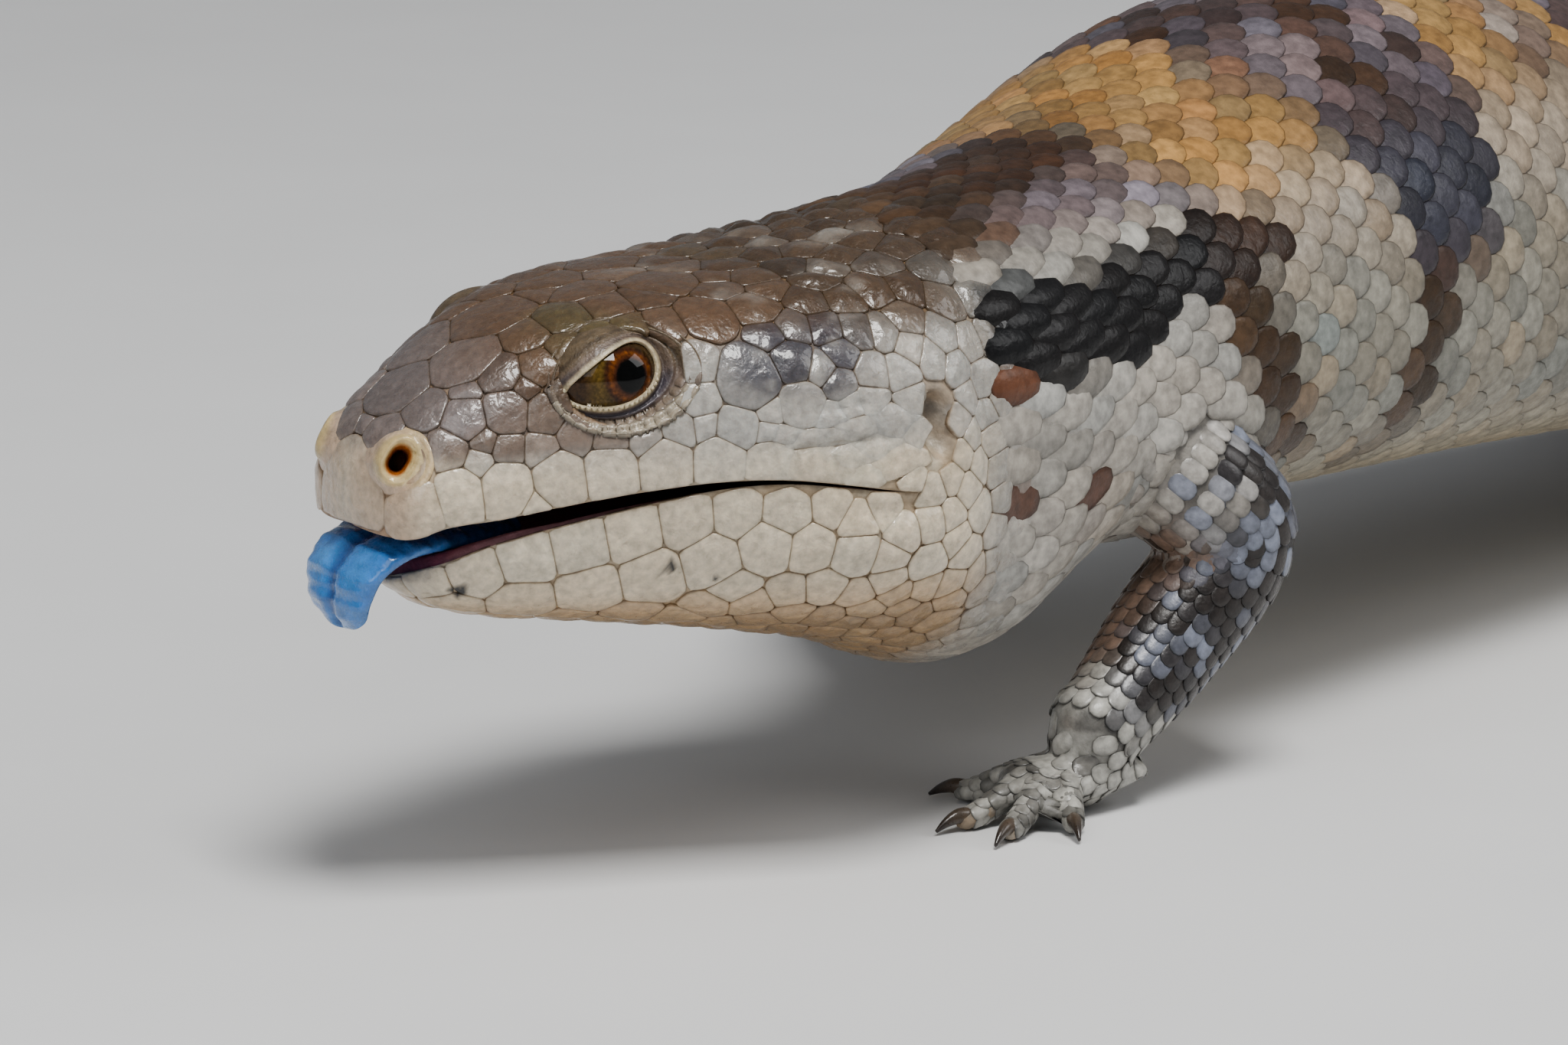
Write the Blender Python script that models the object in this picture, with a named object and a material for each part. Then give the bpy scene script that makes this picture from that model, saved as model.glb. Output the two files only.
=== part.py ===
"""Blue-tongued skink at life size, standing in mid stride with its tongue out.

Blender 4.5, metres, +Z up. The nose points towards +X and the animal's left side towards +Y.
The origin is on the floor, under the middle of the whole model.
"""

import math

import bmesh
import bpy
import numpy as np
from mathutils import Matrix, Vector

# Sizes are in millimetres, and MM turns them into Blender's metres.
MM = 0.001
GAP = 0.3  # between nodes that touch
SNOUT = (231.5, -10.8)  # x and y of the snout's tip from the origin

# Places along the body, measured back from the snout's tip along the spine.
JAW_TIP = 3.6
MOUTH_CORNER = 49.0
HEAD_END = 59.0
NECK_END = 86.0
CHEST_END = 160.0
BELLY_END = 238.0
VENT = 300.0
TAIL_BASE_END = 358.0
TAIL_MIDDLE_END = 420.0
TAIL_TIP = 478.0
SNOUT_ROUND = 3.0  # length over which the snout, the chin and the tail's end round off
CHIN_ROUND = 4.0
TAIL_ROUND = 5.0

# Each row is a place along the spine and a value there, and curve() runs smoothly through the rows.
HEADING = ((0, -17), (25, -17), (48, -17), (60, -7), (74, 8), (84, 11), (98, 12), (145, 6), (190, 0),
           (240, -7.5), (290, -14), (320, -11.5), (350, -5), (385, 5), (420, 16), (478, 32))
TOP = ((0, 46.2), (5, 49.8), (9.5, 52.8), (14, 55.2), (19, 57), (26, 58.3), (34, 58.8), (42, 59.4),
       (50, 60.4), (60, 61.7), (70, 62.6), (80, 63.4), (92, 64.7), (105, 66.6), (118, 69.6), (131, 72.2),
       (148, 73), (165, 72.4), (190, 69.4), (215, 65.5), (245, 60), (270, 54.5), (290, 49), (310, 43.5),
       (335, 36), (360, 29.3), (395, 21.4), (435, 13.4), (465, 7.4), (478, 4.6))
UPPER_LIP = ((0, 36.6), (1.5, 37.1), (4.5, 38.2), (9, 38.8), (15, 39.8), (22, 40.9), (30, 41.5),
             (37, 41.2), (43, 40.2), (49, 38.9), (56, 38.2), (66, 38.4), (80, 39.6), (100, 41.4),
             (125, 41.8), (182, 38.5), (245, 31), (290, 25.5), (310, 21.5), (335, 16.5), (360, 12.5),
             (395, 9.2), (435, 6.2), (465, 3.6), (478, 2.2))
LOWER_LIP = ((3, 32.8), (5, 33.8), (8, 35.4), (12, 36.8), (17, 38.1), (23, 39.5), (30, 40.7), (37, 40.8),
             (43, 39.9), (49, 38.6), (56, 37.9), (66, 38.1))
BOTTOM = ((3, 30.6), (6, 29.2), (10, 27.8), (20, 26), (30, 24.4), (40, 22.6), (50, 20), (56, 17.4),
          (61, 16), (65, 16.6), (70, 20), (75, 23.2), (80, 24.4), (90, 24), (104, 23.4), (125, 22),
          (150, 20.4), (182, 18), (215, 15), (245, 12), (270, 9.4), (290, 8), (310, 5.2), (330, 1.8),
          (345, -0.2), (360, -0.6), (435, -0.6), (478, -0.4))
HALF_WIDTH = ((0, 9.5), (3, 10.1), (6, 11.1), (10, 12.6), (15, 14.2), (22, 17), (30, 19.8), (38, 22),
              (45, 23.2), (51, 23.3), (58, 22.2), (66, 21.2), (76, 21.6), (88, 24), (102, 26.6),
              (125, 29.8), (150, 31.8), (182, 32.4), (215, 31.6), (245, 28.6), (270, 24.4), (290, 20.6),
              (310, 17.6), (335, 15.2), (360, 13.2), (395, 10.2), (435, 6.6), (465, 3.8), (478, 2.4))
JAW_HALF_WIDTH = ((3, 6.4), (6, 8.6), (10, 11), (15, 13.4), (22, 16.3), (30, 19.3), (38, 21.7),
                  (45, 23), (51, 23.2), (58, 22.2), (66, 21.2))
UPPER_POWER = ((0, 2.6), (12, 3), (22, 3.1), (36, 3), (50, 2.7), (64, 2.4), (90, 2.2), (300, 2.1),
               (478, 2))
LOWER_POWER = ((3, 2.4), (30, 2.5), (50, 2.4), (66, 2.3), (100, 2.4), (180, 2.6), (290, 2.4),
               (478, 2.1))

# The mouth's lining: how far the palate rises and the floor of the mouth sinks, midway between the lips.
PALATE_RISE = ((0, 1.2), (6, 2.4), (20, 3.4), (36, 2.6), (45, 0.6), (49, 0), (66, 0))
MOUTH_DIP = ((3, 0.8), (8, 2.8), (16, 4.4), (24, 4.8), (36, 3.4), (45, 0.7), (49, 0), (66, 0))

# Swellings and hollows of the head's and neck's sides: place along, height, reach each way, how far out.
RELIEF = (
    ("brow ridge", 22, 55.4, 9, 2.2, 1.5),
    ("orbit", 22.4, 50.6, 5.6, 3, -0.4),
    ("hollow before the eye", 12, 49, 4.5, 3, -0.6),
    ("upper lip", 20, 41.2, 22, 2, 0.5),
    ("temple", 40, 51, 9, 6, 0.9),
    ("jaw muscle", 45, 33, 8, 6, 1.2),
    ("fold under the ear", 60, 34, 3, 14, -1.2),
    ("throat fold", 80, 30, 5, 12, -0.9),
)

# Eyes, ears and nostrils: place along, distance from the middle plane, and height.
EYE_AT = (21.8, 10.9, 51.1)
EYE_RADIUS = 4.8
EYE_AIM = (0.0, 10.0)  # degrees forwards and upwards of straight out
LID_HALF_LENGTH, LID_TOP, LID_BOTTOM = 5.0, 3.1, 3.1  # of the opening between the lids
LID_DROP = 1.0  # of its front corner under its middle
LID_THICKNESS, LID_POINTS = 0.8, 24
EAR_AT = (51.0, 23.4, 45.0)
EAR_RADII = (1.6, 2.4, 3.4)
NOSTRIL_AT = (1.9, 8.0, 44.9)
NOSTRIL_RADIUS, NOSTRIL_RIM = 1.0, 0.9

# The tongue's middle line as place along and height, then its half width and half thickness there.
TONGUE = (((17, 35.6), 3.4, 1.0), ((13.5, 35.4), 4.6, 1.3), ((10.5, 35.4), 5.6, 1.35),
          ((5.4, 35.6), 6.8, 1.2), ((2.4, 35.1), 6.8, 1.3), ((-0.1, 33.5), 6.4, 1.4),
          ((-1.1, 31), 5.6, 1.35), ((-0.9, 28.9), 4.4, 1.1), ((-0.2, 27.4), 2.4, 0.7))
TONGUE_GROOVE = 0.7  # depth of the furrow down its middle

# Limbs: the joints from the root, inside the body, to the wrist or ankle, from the snout's tip, with radii.
LIMBS = {
    "left_fore": (((-82, 24, 38), 8.8), ((-85.3, 33, 33), 8.2), ((-91.3, 36, 25.5), 7.2),
                  ((-83.5, 33.5, 15.4), 6.5), ((-73.5, 32.5, 7.6), 5)),
    "right_fore": (((-91, -3, 38), 8.8), ((-99.5, -17, 33), 8.2), ((-109, -26, 25.5), 7.2),
                   ((-118, -30, 15.4), 6.5), ((-128, -32, 7.6), 5)),
    "left_hind": (((-283, 20, 27), 10.2), ((-276, 38, 25), 8.8), ((-274.5, 48, 20.5), 7.2),
                  ((-285, 53, 13), 6.2), ((-295, 56, 6.4), 4.6)),
    "right_hind": (((-278, 2, 27), 10.2), ((-266, -14.5, 25), 8.8), ((-256, -23.5, 20.5), 7.2),
                   ((-261, -31, 13), 6.2), ((-266, -37.5, 6.4), 4.6)),
}
# Feet: the way each points, in degrees from +X, and the sizes that fore and hind feet have.
FOOT_AIM = {"left_fore": -25.0, "right_fore": -4.0, "left_hind": 42.0, "right_hind": -24.0}
TOE_LENGTHS = {"fore": (6.2, 7.8, 9.6, 10.0, 6.6), "hind": (6.5, 9.5, 12.0, 13.0, 9.0)}
TOE_SPREAD = {"fore": (92, 46, -12, -40, -72), "hind": (48, 22, 2, -18, -58)}  # degrees inwards, inner first
PALM_LENGTH = {"fore": 9.5, "hind": 12.5}
PALM_HALF_WIDTH = {"fore": 4.9, "hind": 5.3}
PALM_LIFT, PALM_FLATNESS = 3.6, 0.5  # height of its middle, and its thickness over its width
TOE_ARCH = ((-0.15, 3.4), (0.2, 3.4), (0.5, 2.6), (0.8, 1.5), (1, 1.1))  # place along a toe, and height
JOINT_NARROWING = 0.93  # of each length of a limb where it leaves the one before
TOE_RADIUS, TOE_TIP_RADIUS = 1.75, 1.25
CLAW_LENGTH, CLAW_RADIUS = 3.6, 0.85

# Counts of points: round the upper and the lower quarter of a ring, and round a limb, a toe and a claw.
HEAD_SIDES = (10, 4)
JAW_SIDES = (4, 7)
TRUNK_SIDES = (9, 7)
CUTTER_SIDES = (12, 10)
TAIL_SIDES = (6, 5)
LIMB_SIDES, PALM_SIDES, TOE_SIDES, CLAW_SIDES = 14, 12, 7, 5
TONGUE_SIDES, TONGUE_RINGS = 12, 17

COLOURS = {  # base colour and roughness of each finish
    "back_skin": ((0.24, 0.19, 0.13), 0.45),
    "head_skin": ((0.36, 0.29, 0.21), 0.40),
    "jaw_skin": ((0.66, 0.60, 0.48), 0.42),
    "limb_skin": ((0.20, 0.16, 0.13), 0.50),
    "tongue": ((0.10, 0.25, 0.55), 0.30),
    "eye": ((0.24, 0.09, 0.02), 0.08),
}


def curve(rows):
    """A smooth function through rows of (place, value): cubic pieces with slopes from the neighbours."""
    at, value = np.array(rows, float).T
    slope = np.gradient(value, at)

    def read(x):
        x = np.asarray(x, float)
        i = np.clip(np.searchsorted(at, x) - 1, 0, len(at) - 2)
        step = at[i + 1] - at[i]
        t = np.clip((x - at[i]) / step, 0, 1)
        rise = value[i + 1] - value[i]
        bend = (slope[i] * step - rise) * (1 - t) + (rise - slope[i + 1] * step) * t
        return value[i] + rise * t + t * (1 - t) * bend

    return read


heading, top, bottom = curve(HEADING), curve(TOP), curve(BOTTOM)
upper_lip, lower_lip = curve(UPPER_LIP), curve(LOWER_LIP)
half_width, jaw_half_width = curve(HALF_WIDTH), curve(JAW_HALF_WIDTH)
upper_power, lower_power = curve(UPPER_POWER), curve(LOWER_POWER)
palate_rise, mouth_dip = curve(PALATE_RISE), curve(MOUTH_DIP)

# The spine in plan, walked back from the snout in short steps.
STEP = 0.5
WALK = np.arange(0, TAIL_TIP + STEP, STEP)
TURN = np.radians(heading(WALK + STEP / 2))
SPINE_X = SNOUT[0] - np.concatenate([[0], np.cumsum(np.cos(TURN))[:-1]]) * STEP
SPINE_Y = SNOUT[1] - np.concatenate([[0], np.cumsum(np.sin(TURN))[:-1]]) * STEP


def place(s, side, z):
    """The point at s along the spine, side to the animal's left and z above the floor. s may be under 0."""
    turn = math.radians(float(heading(s)))
    x = float(np.interp(s, WALK, SPINE_X)) - min(s, 0) * math.cos(turn)
    y = float(np.interp(s, WALK, SPINE_Y)) - min(s, 0) * math.sin(turn)
    return Vector((x - side * math.sin(turn), y + side * math.cos(turn), z))


def rounding(s, tip, length):
    """How much of its full size a section has near an end that rounds off: 0 at the tip, 1 past length."""
    t = min(max(abs(s - tip) / length, 0.0), 1.0)
    return math.sqrt(1 - (1 - t) ** 2)


def quarter(width, height, power, count):
    """A quarter of a superellipse from (0, height) to (width, 0) as count + 1 points, evenly spaced."""
    a = np.linspace(0, math.pi / 2, 73)
    y = width * np.sin(a) ** (2 / power)
    z = height * np.cos(a) ** (2 / power)
    run = np.concatenate([[0], np.cumsum(np.hypot(np.diff(y), np.diff(z)))])
    even = np.linspace(0, run[-1], count + 1)
    return np.stack([np.interp(even, run, y), np.interp(even, run, z)], axis=1)


def relief(s, points, half):
    """Moves the side points of a section out or in by the swellings and hollows in RELIEF."""
    side = np.clip(points[:, 0] / max(half, 0.1), 0, 1) ** 2
    out = sum(far * np.exp(-(((s - at) / along) ** 2) - ((points[:, 1] - z) / up) ** 2)
              for _, at, z, along, up, far in RELIEF)
    moved = points.copy()
    moved[:, 0] += out * side
    return moved


def upper_quarter(s, count, grow=0.0):
    """The outer skin from the middle of the back down to the lip or the side line."""
    size = rounding(s, 0, SNOUT_ROUND) if s < SNOUT_ROUND else 1.0
    size *= rounding(s, TAIL_TIP, TAIL_ROUND) if s > TAIL_TIP - TAIL_ROUND else 1.0
    middle = 0.5 * float(top(s) + upper_lip(s))
    low = float(upper_lip(s)) + (middle - float(upper_lip(s))) * (1 - size) * (0.2 if s < HEAD_END else 1)
    high = middle + (float(top(s)) - middle) * size + grow
    half = float(half_width(s)) * size + grow
    points = quarter(half, high - low, float(upper_power(s)), count)
    points[:, 1] += low
    return relief(s, points, half)


def lower_quarter(s, count, grow=0.0):
    """The outer skin from the lip or the side line down to the middle of the belly."""
    ahead = s < HEAD_END
    lip = lower_lip if ahead else upper_lip
    size = rounding(s, JAW_TIP, CHIN_ROUND) if s < JAW_TIP + CHIN_ROUND else 1.0
    size *= rounding(s, TAIL_TIP, TAIL_ROUND) if s > TAIL_TIP - TAIL_ROUND else 1.0
    middle = float(lip(s)) - 1.2 if ahead else float(0.5 * (top(s) + lip(s)))
    high = middle + (float(lip(s)) - middle) * size
    low = middle + (float(bottom(s)) - middle) * size - grow
    half = float((jaw_half_width if ahead else half_width)(s)) * size + grow
    points = quarter(half, low - high, float(lower_power(s)), count)[::-1]
    points[:, 1] += high
    return relief(s, points, half)


def lining(edge, rise, count):
    """The mouth's lining from the lip to the middle, rising above the lip's height or sinking below it."""
    y = edge[0] * np.linspace(1, 0, count + 1)
    return np.stack([y, edge[1] + rise * (1 - (y / max(edge[0], 1e-6)) ** 4)], axis=1)


def ring(upper, lower):
    """A closed section from its left half's two quarters, round from the middle of the top."""
    left = np.concatenate([upper, lower[1:]])
    return np.concatenate([left, left[-2:0:-1] * (-1, 1)])


def head_ring(s):
    outer = upper_quarter(s, HEAD_SIDES[0])
    rise = max(float(palate_rise(s)), 0.0) * rounding(s, 0, SNOUT_ROUND)
    return ring(outer, lining(outer[-1], rise, HEAD_SIDES[1]))


def jaw_ring(s):
    outer = lower_quarter(s, JAW_SIDES[1])
    dip = max(float(mouth_dip(s)), 0.0) * rounding(s, JAW_TIP, CHIN_ROUND)
    return ring(lining(outer[0], -dip, JAW_SIDES[0])[::-1], outer)


def trunk_ring(s, sides=TRUNK_SIDES, grow=0.0):
    return ring(upper_quarter(s, sides[0], grow), lower_quarter(s, sides[1], grow))


def tail_ring(s):
    return trunk_ring(s, TAIL_SIDES)


def cutter_ring(s):
    return trunk_ring(s, CUTTER_SIDES, GAP)


def spread(start, end, step):
    """Places from start to end, about a step apart."""
    return np.linspace(start, end, max(2, round((end - start) / step) + 1))


def rounded_start(tip, length, end, step, count=5):
    """Places from a rounded tip to end, set closer together in the rounding."""
    near = [tip + length * (1 - math.cos(math.pi / 2 * (k + 0.4) / (count + 0.4))) for k in range(count)]
    return np.concatenate([near, spread(tip + length, end, step)])


def mesh_object(name, points, faces, finish, smooth=True):
    """A named object from points in millimetres and faces, with its own material."""
    mesh = bpy.data.meshes.new(name)
    mesh.from_pydata([Vector(p) * MM for p in points], [], faces)
    mesh.materials.append(material(name, finish))
    bm = bmesh.new()
    bm.from_mesh(mesh)
    bmesh.ops.recalc_face_normals(bm, faces=bm.faces)
    bm.to_mesh(mesh)
    bm.free()
    if smooth:
        mesh.shade_smooth()
        mesh.set_sharp_from_angle(angle=math.radians(50))
    obj = bpy.data.objects.new(name, mesh)
    bpy.context.collection.objects.link(obj)
    return obj


def material(name, finish):
    colour, roughness = COLOURS[finish]
    made = bpy.data.materials.new(name)
    made.use_nodes = True
    shader = made.node_tree.nodes["Principled BSDF"]
    shader.inputs["Base Color"].default_value = (*colour, 1)
    shader.inputs["Roughness"].default_value = roughness
    shader.inputs["Metallic"].default_value = 0.0
    return made


def skin_over(name, rings, finish, tip_start=None, tip_end=None):
    """A closed object over rings of equal count. An end with a tip runs to that point, or else is flat."""
    count = len(rings[0])
    points = [p for r in rings for p in r]
    faces = []
    for k in range(len(rings) - 1):
        for i in range(count):
            j = (i + 1) % count
            faces.append((k * count + i, k * count + j, (k + 1) * count + j, (k + 1) * count + i))
    for tip, first in ((tip_start, 0), (tip_end, (len(rings) - 1) * count)):
        ids = [first + i for i in range(count)]
        if tip is None:
            faces.append(ids)
            continue
        points.append(tip)
        faces += [(ids[i], ids[(i + 1) % count], len(points) - 1) for i in range(count)]
    return mesh_object(name, points, faces, finish)


def section_object(name, places, make_ring, finish, tip_start=None, tip_end=None):
    """An object over the body's sections at these places along the spine."""
    rings = [[place(s, y, z) for y, z in make_ring(s)] for s in places]
    return skin_over(name, rings, finish, tip_start, tip_end)


def hidden(obj):
    obj.hide_render = True
    obj.display_type = "WIRE"
    return obj


def settle(obj):
    """Applies the object's modifiers."""
    graph = bpy.context.evaluated_depsgraph_get()
    made = bpy.data.meshes.new_from_object(obj.evaluated_get(graph))
    obj.modifiers.clear()
    obj.data = made


def combine(obj, others, operation):
    """Joins the others to obj, or cuts them from it, in one Boolean, and removes them."""
    group = bpy.data.collections.new("group")
    bpy.context.scene.collection.children.link(group)
    for other in others:
        bpy.context.collection.objects.unlink(other)
        group.objects.link(other)
    step = obj.modifiers.new(operation.lower(), "BOOLEAN")
    step.operation = operation
    step.operand_type = "COLLECTION"
    step.collection = group
    step.solver = "EXACT"
    settle(obj)
    for other in others:
        bpy.data.objects.remove(other)
    bpy.data.collections.remove(group)
    keep_largest(obj)


def keep_largest(obj):
    """Removes every closed surface of the object but the one with the most faces' area."""
    bm = bmesh.new()
    bm.from_mesh(obj.data)
    left, shells = set(bm.verts), []
    while left:
        found, edge = set(), [next(iter(left))]
        while edge:
            vert = edge.pop()
            if vert in found:
                continue
            found.add(vert)
            edge += [e.other_vert(vert) for e in vert.link_edges]
        left -= found
        shells.append(found)
    area = {id(v): sum(f.calc_area() for f in {f for p in v for f in p.link_faces}) for v in shells}
    shells.sort(key=lambda v: area[id(v)])
    bmesh.ops.delete(bm, geom=[v for shell in shells[:-1] for v in shell], context="VERTS")
    bm.to_mesh(obj.data)
    bm.free()
    obj.data.shade_smooth()
    obj.data.set_sharp_from_angle(angle=math.radians(50))


def floor_block():
    """A block under the floor, which trims soles and the tail's underside flat."""
    size = (TAIL_TIP * 0.7, TAIL_TIP * 0.35, 10)
    square = ((-1, -1), (1, -1), (1, 1), (-1, 1))
    corners = [(x * size[0], y * size[1], z) for z in (-size[2], 0) for x, y in square]
    faces = [(0, 3, 2, 1), (4, 5, 6, 7)] + [(i, (i + 1) % 4, (i + 1) % 4 + 4, i + 4) for i in range(4)]
    return hidden(mesh_object("floor_block", corners, faces, "limb_skin", smooth=False))


def ball(name, centre, radii, finish, turn=None, segments=20, rings=12):
    """An ellipsoid with its first axis along the turn's X."""
    bm = bmesh.new()
    bmesh.ops.create_uvsphere(bm, u_segments=segments, v_segments=rings, radius=1)
    bm.transform(Matrix.Translation(centre) @ (turn or Matrix()) @ Matrix.Diagonal((*radii, 1)))
    points = [v.co.copy() for v in bm.verts]
    faces = [[v.index for v in f.verts] for f in bm.faces]
    bm.free()
    return mesh_object(name, points, faces, finish)


def tube(name, centres, radii, sides, finish, flat=1.0, tip=None, back=None):
    """A closed tube through centres, flat times as high as wide. tip and back are points that end it."""
    points = [Vector(c) for c in centres]
    rings = []
    for k, centre in enumerate(points):
        along = (points[min(k + 1, len(points) - 1)] - points[max(k - 1, 0)]).normalized()
        across = along.cross(Vector((0, 0, 1)))
        across = (across if across.length > 0.05 else Vector((0, 1, 0))).normalized()
        up = across.cross(along)
        radius = float(radii[k])
        rings.append([centre + radius * (math.cos(a) * across + math.sin(a) * flat * up)
                      for a in (2 * math.pi * i / sides for i in range(sides))])
    return skin_over(name, rings, finish, back, tip)


def head_turn():
    """The turn from the head's own axes, nose towards +X, to the model's."""
    return Matrix.Rotation(math.radians(float(heading(0))), 4, "Z")


def eye_axes(side):
    """Out, forwards and up at the eye on this side (+1 left, -1 right), as unit vectors."""
    ahead, rise = (math.radians(a) for a in EYE_AIM)
    out = Vector((math.sin(ahead) * math.cos(rise), side * math.cos(ahead) * math.cos(rise), math.sin(rise)))
    out = head_turn() @ out
    front = (head_turn() @ Vector((1, 0, 0)))
    front = (front - out * front.dot(out)).normalized()
    up = Vector((0, 0, 1)) - out * out.z - front * front.z
    return out, front, up.normalized()


def eye_centre(side):
    return place(EYE_AT[0], side * EYE_AT[1], EYE_AT[2])


def lid_outline(count):
    """Forwards and up along the opening between the eyelids, from its front corner over the top."""
    for k in range(count):
        a = 2 * math.pi * k / count
        along, lift = math.cos(a), math.sin(a)
        x = LID_HALF_LENGTH * along
        lift *= LID_TOP * (1 - 0.3 * along) if lift > 0 else LID_BOTTOM * (1 - 0.15 * along)
        yield x, lift - LID_DROP * along


def lid_ball(side):
    """The bulge of skin round the eyeball, out of which the opening is cut."""
    radius = EYE_RADIUS + GAP + LID_THICKNESS
    return ball("lid_ball", eye_centre(side), (radius,) * 3, "head_skin", head_turn(), 18, 12)


def lid_opening(side):
    """A prism outwards from inside the eyeball along the opening."""
    out, front, up = eye_axes(side)
    rings = [[eye_centre(side) + front * x * share + up * z * share + out * far
              for x, z in lid_outline(LID_POINTS)] for far, share in ((1.5, 0.8), (EYE_RADIUS + 4, 1.02))]
    return skin_over("lid_opening", rings, "head_skin")


def nostril_axis(side):
    """The way a nostril opens: outwards, a little forwards and up."""
    return (head_turn() @ Vector((0.42, side * 0.85, 0.25))).normalized()


def nostril_ball(name, side, out, depth, size):
    """A flattened ball on the nostril's axis, set out from the skin, with its radii along and across."""
    axis = nostril_axis(side)
    centre = place(NOSTRIL_AT[0], side * NOSTRIL_AT[1], NOSTRIL_AT[2]) + axis * out
    turn = axis.to_track_quat("X", "Z").to_matrix().to_4x4()
    return ball(name, centre, (depth, size * 1.15, size), "head_skin", turn, 14, 8)


def nostril_rim(side):
    return nostril_ball("nostril_rim", side, -0.5, 1.1, NOSTRIL_RADIUS + NOSTRIL_RIM)


def nostril_pit(side):
    return nostril_ball("nostril_pit", side, 0.9, 2.3, NOSTRIL_RADIUS)


def ear_cup(side):
    centre = place(EAR_AT[0], side * EAR_AT[1], EAR_AT[2])
    return ball("ear_cup", centre, EAR_RADII, "head_skin", head_turn(), 12, 8)


def eye_socket(side):
    return ball("eye_socket", eye_centre(side), (EYE_RADIUS + GAP,) * 3, "head_skin", None, 16, 10)


def make_head():
    """The skull and upper jaw, with eyelids, nostrils and ear openings."""
    places = rounded_start(0, SNOUT_ROUND, HEAD_END, 2.3)
    nose_height = 0.5 * float(top(0) + upper_lip(0))
    head = section_object("head", places, head_ring, "head_skin", tip_start=place(0, 0, nose_height))
    combine(head, [make(side) for side in (1, -1) for make in (lid_ball, nostril_rim)], "UNION")
    cuts = [make(side) for side in (1, -1) for make in (eye_socket, lid_opening, nostril_pit, ear_cup)]
    combine(head, cuts, "DIFFERENCE")


def make_jaw():
    places = rounded_start(JAW_TIP, CHIN_ROUND, HEAD_END, 2.8)
    section_object("lower_jaw", places, jaw_ring, "jaw_skin",
                   tip_start=place(JAW_TIP, 0, float(lower_lip(JAW_TIP)) - 1.2))


def make_eyes():
    for name, side in (("eye_left", 1), ("eye_right", -1)):
        ball(name, eye_centre(side), (EYE_RADIUS,) * 3, "eye", segments=16, rings=10)


def make_tongue():
    """A flat, fleshy tongue that comes out over the chin and curls down, with a furrow down its middle."""
    stations = [curve([(i, row) for i, row in enumerate(column)]) for column in
                zip(*[(s, z, wide, thick) for (s, z), wide, thick in TONGUE])]
    steps = np.linspace(0, len(TONGUE) - 1, TONGUE_RINGS)
    line = [place(float(stations[0](t)), 0, float(stations[1](t))) for t in steps]
    left = head_turn() @ Vector((0, 1, 0))
    rings = []
    for k, centre in enumerate(line):
        along = (line[min(k + 1, len(line) - 1)] - line[max(k - 1, 0)]).normalized()
        over = left.cross(along).normalized()
        wide, thick = float(stations[2](steps[k])), float(stations[3](steps[k]))
        section = []
        for i in range(TONGUE_SIDES):
            a = 2 * math.pi * (i + 0.5) / TONGUE_SIDES
            lift = thick * math.copysign(abs(math.sin(a)) ** 0.8, math.sin(a))
            furrow = TONGUE_GROOVE * math.exp(-(math.cos(a) / 0.3) ** 2) if math.sin(a) > 0 else 0
            section.append(centre + left * (wide * math.cos(a)) + over * (lift - furrow))
        rings.append(section)
    tip = line[-1] + (line[-1] - line[-2]).normalized() * 0.8
    skin_over("tongue", rings, "tongue", tip_start=line[0] - (line[1] - line[0]).normalized(), tip_end=tip)


def make_trunk():
    """Neck, chest, belly and hips, and the tail in three lengths, each ending a gap short of the next."""
    trunk = ((HEAD_END, NECK_END, "neck", 4.5), (NECK_END, CHEST_END, "chest", 6),
             (CHEST_END, BELLY_END, "belly", 7), (BELLY_END, VENT, "hips", 7))
    for start, end, name, step in trunk:
        section_object(name, spread(start + GAP, end, step), trunk_ring, "back_skin")
    tail = ((VENT, TAIL_BASE_END, "tail_base"), (TAIL_BASE_END, TAIL_MIDDLE_END, "tail_middle"))
    for start, end, name in tail:
        piece = section_object(name, spread(start + GAP, end, 7), tail_ring, "back_skin")
        combine(piece, [floor_block()], "DIFFERENCE")
    ends = TAIL_TIP + TAIL_MIDDLE_END + GAP - rounded_start(TAIL_MIDDLE_END + GAP, TAIL_ROUND, TAIL_TIP, 7, 4)
    end_height = float(0.5 * (top(TAIL_TIP) + upper_lip(TAIL_TIP)))
    tip = section_object("tail_tip", ends[::-1], tail_ring, "back_skin",
                         tip_end=place(TAIL_TIP, 0, end_height))
    combine(tip, [floor_block()], "DIFFERENCE")


def body_cutter(start, end):
    """The trunk between two places, one gap larger, to cut a limb's root to the body's side."""
    return hidden(section_object("body_cutter", spread(start, end, 4), cutter_ring, "back_skin"))


def limb_tube(node, name, half, grow=0.0):
    """The upper (0) or lower (1) half of a limb as a round-ended tube. grow makes it larger all round."""
    joints = LIMBS[name][2 * half:2 * half + 3]
    shares = np.linspace(0, 1, 7)
    route = [curve([(k / 2, at[axis]) for k, (at, _) in enumerate(joints)])(shares) for axis in range(3)]
    line = [Vector((SNOUT[0] + x, SNOUT[1] + y, z)) for x, y, z in zip(*route)]
    narrow = JOINT_NARROWING if half else 1.0
    sizes = curve([(0, joints[0][1] * narrow), (0.5, joints[1][1]), (1, joints[2][1])])(shares) + grow
    first, last = float(sizes[0]), float(sizes[-1])
    back, ahead = (line[0] - line[1]).normalized(), (line[-1] - line[-2]).normalized()
    line = [line[0] + back * first * 0.6] + line + [line[-1] + ahead * last * 0.6]
    sizes = [first * 0.78] + list(sizes) + [last * 0.78]
    return tube(node, line, sizes, LIMB_SIDES, "limb_skin", flat=0.94,
                back=line[0] + back * first * 0.34, tip=line[-1] + ahead * last * 0.34)


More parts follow.
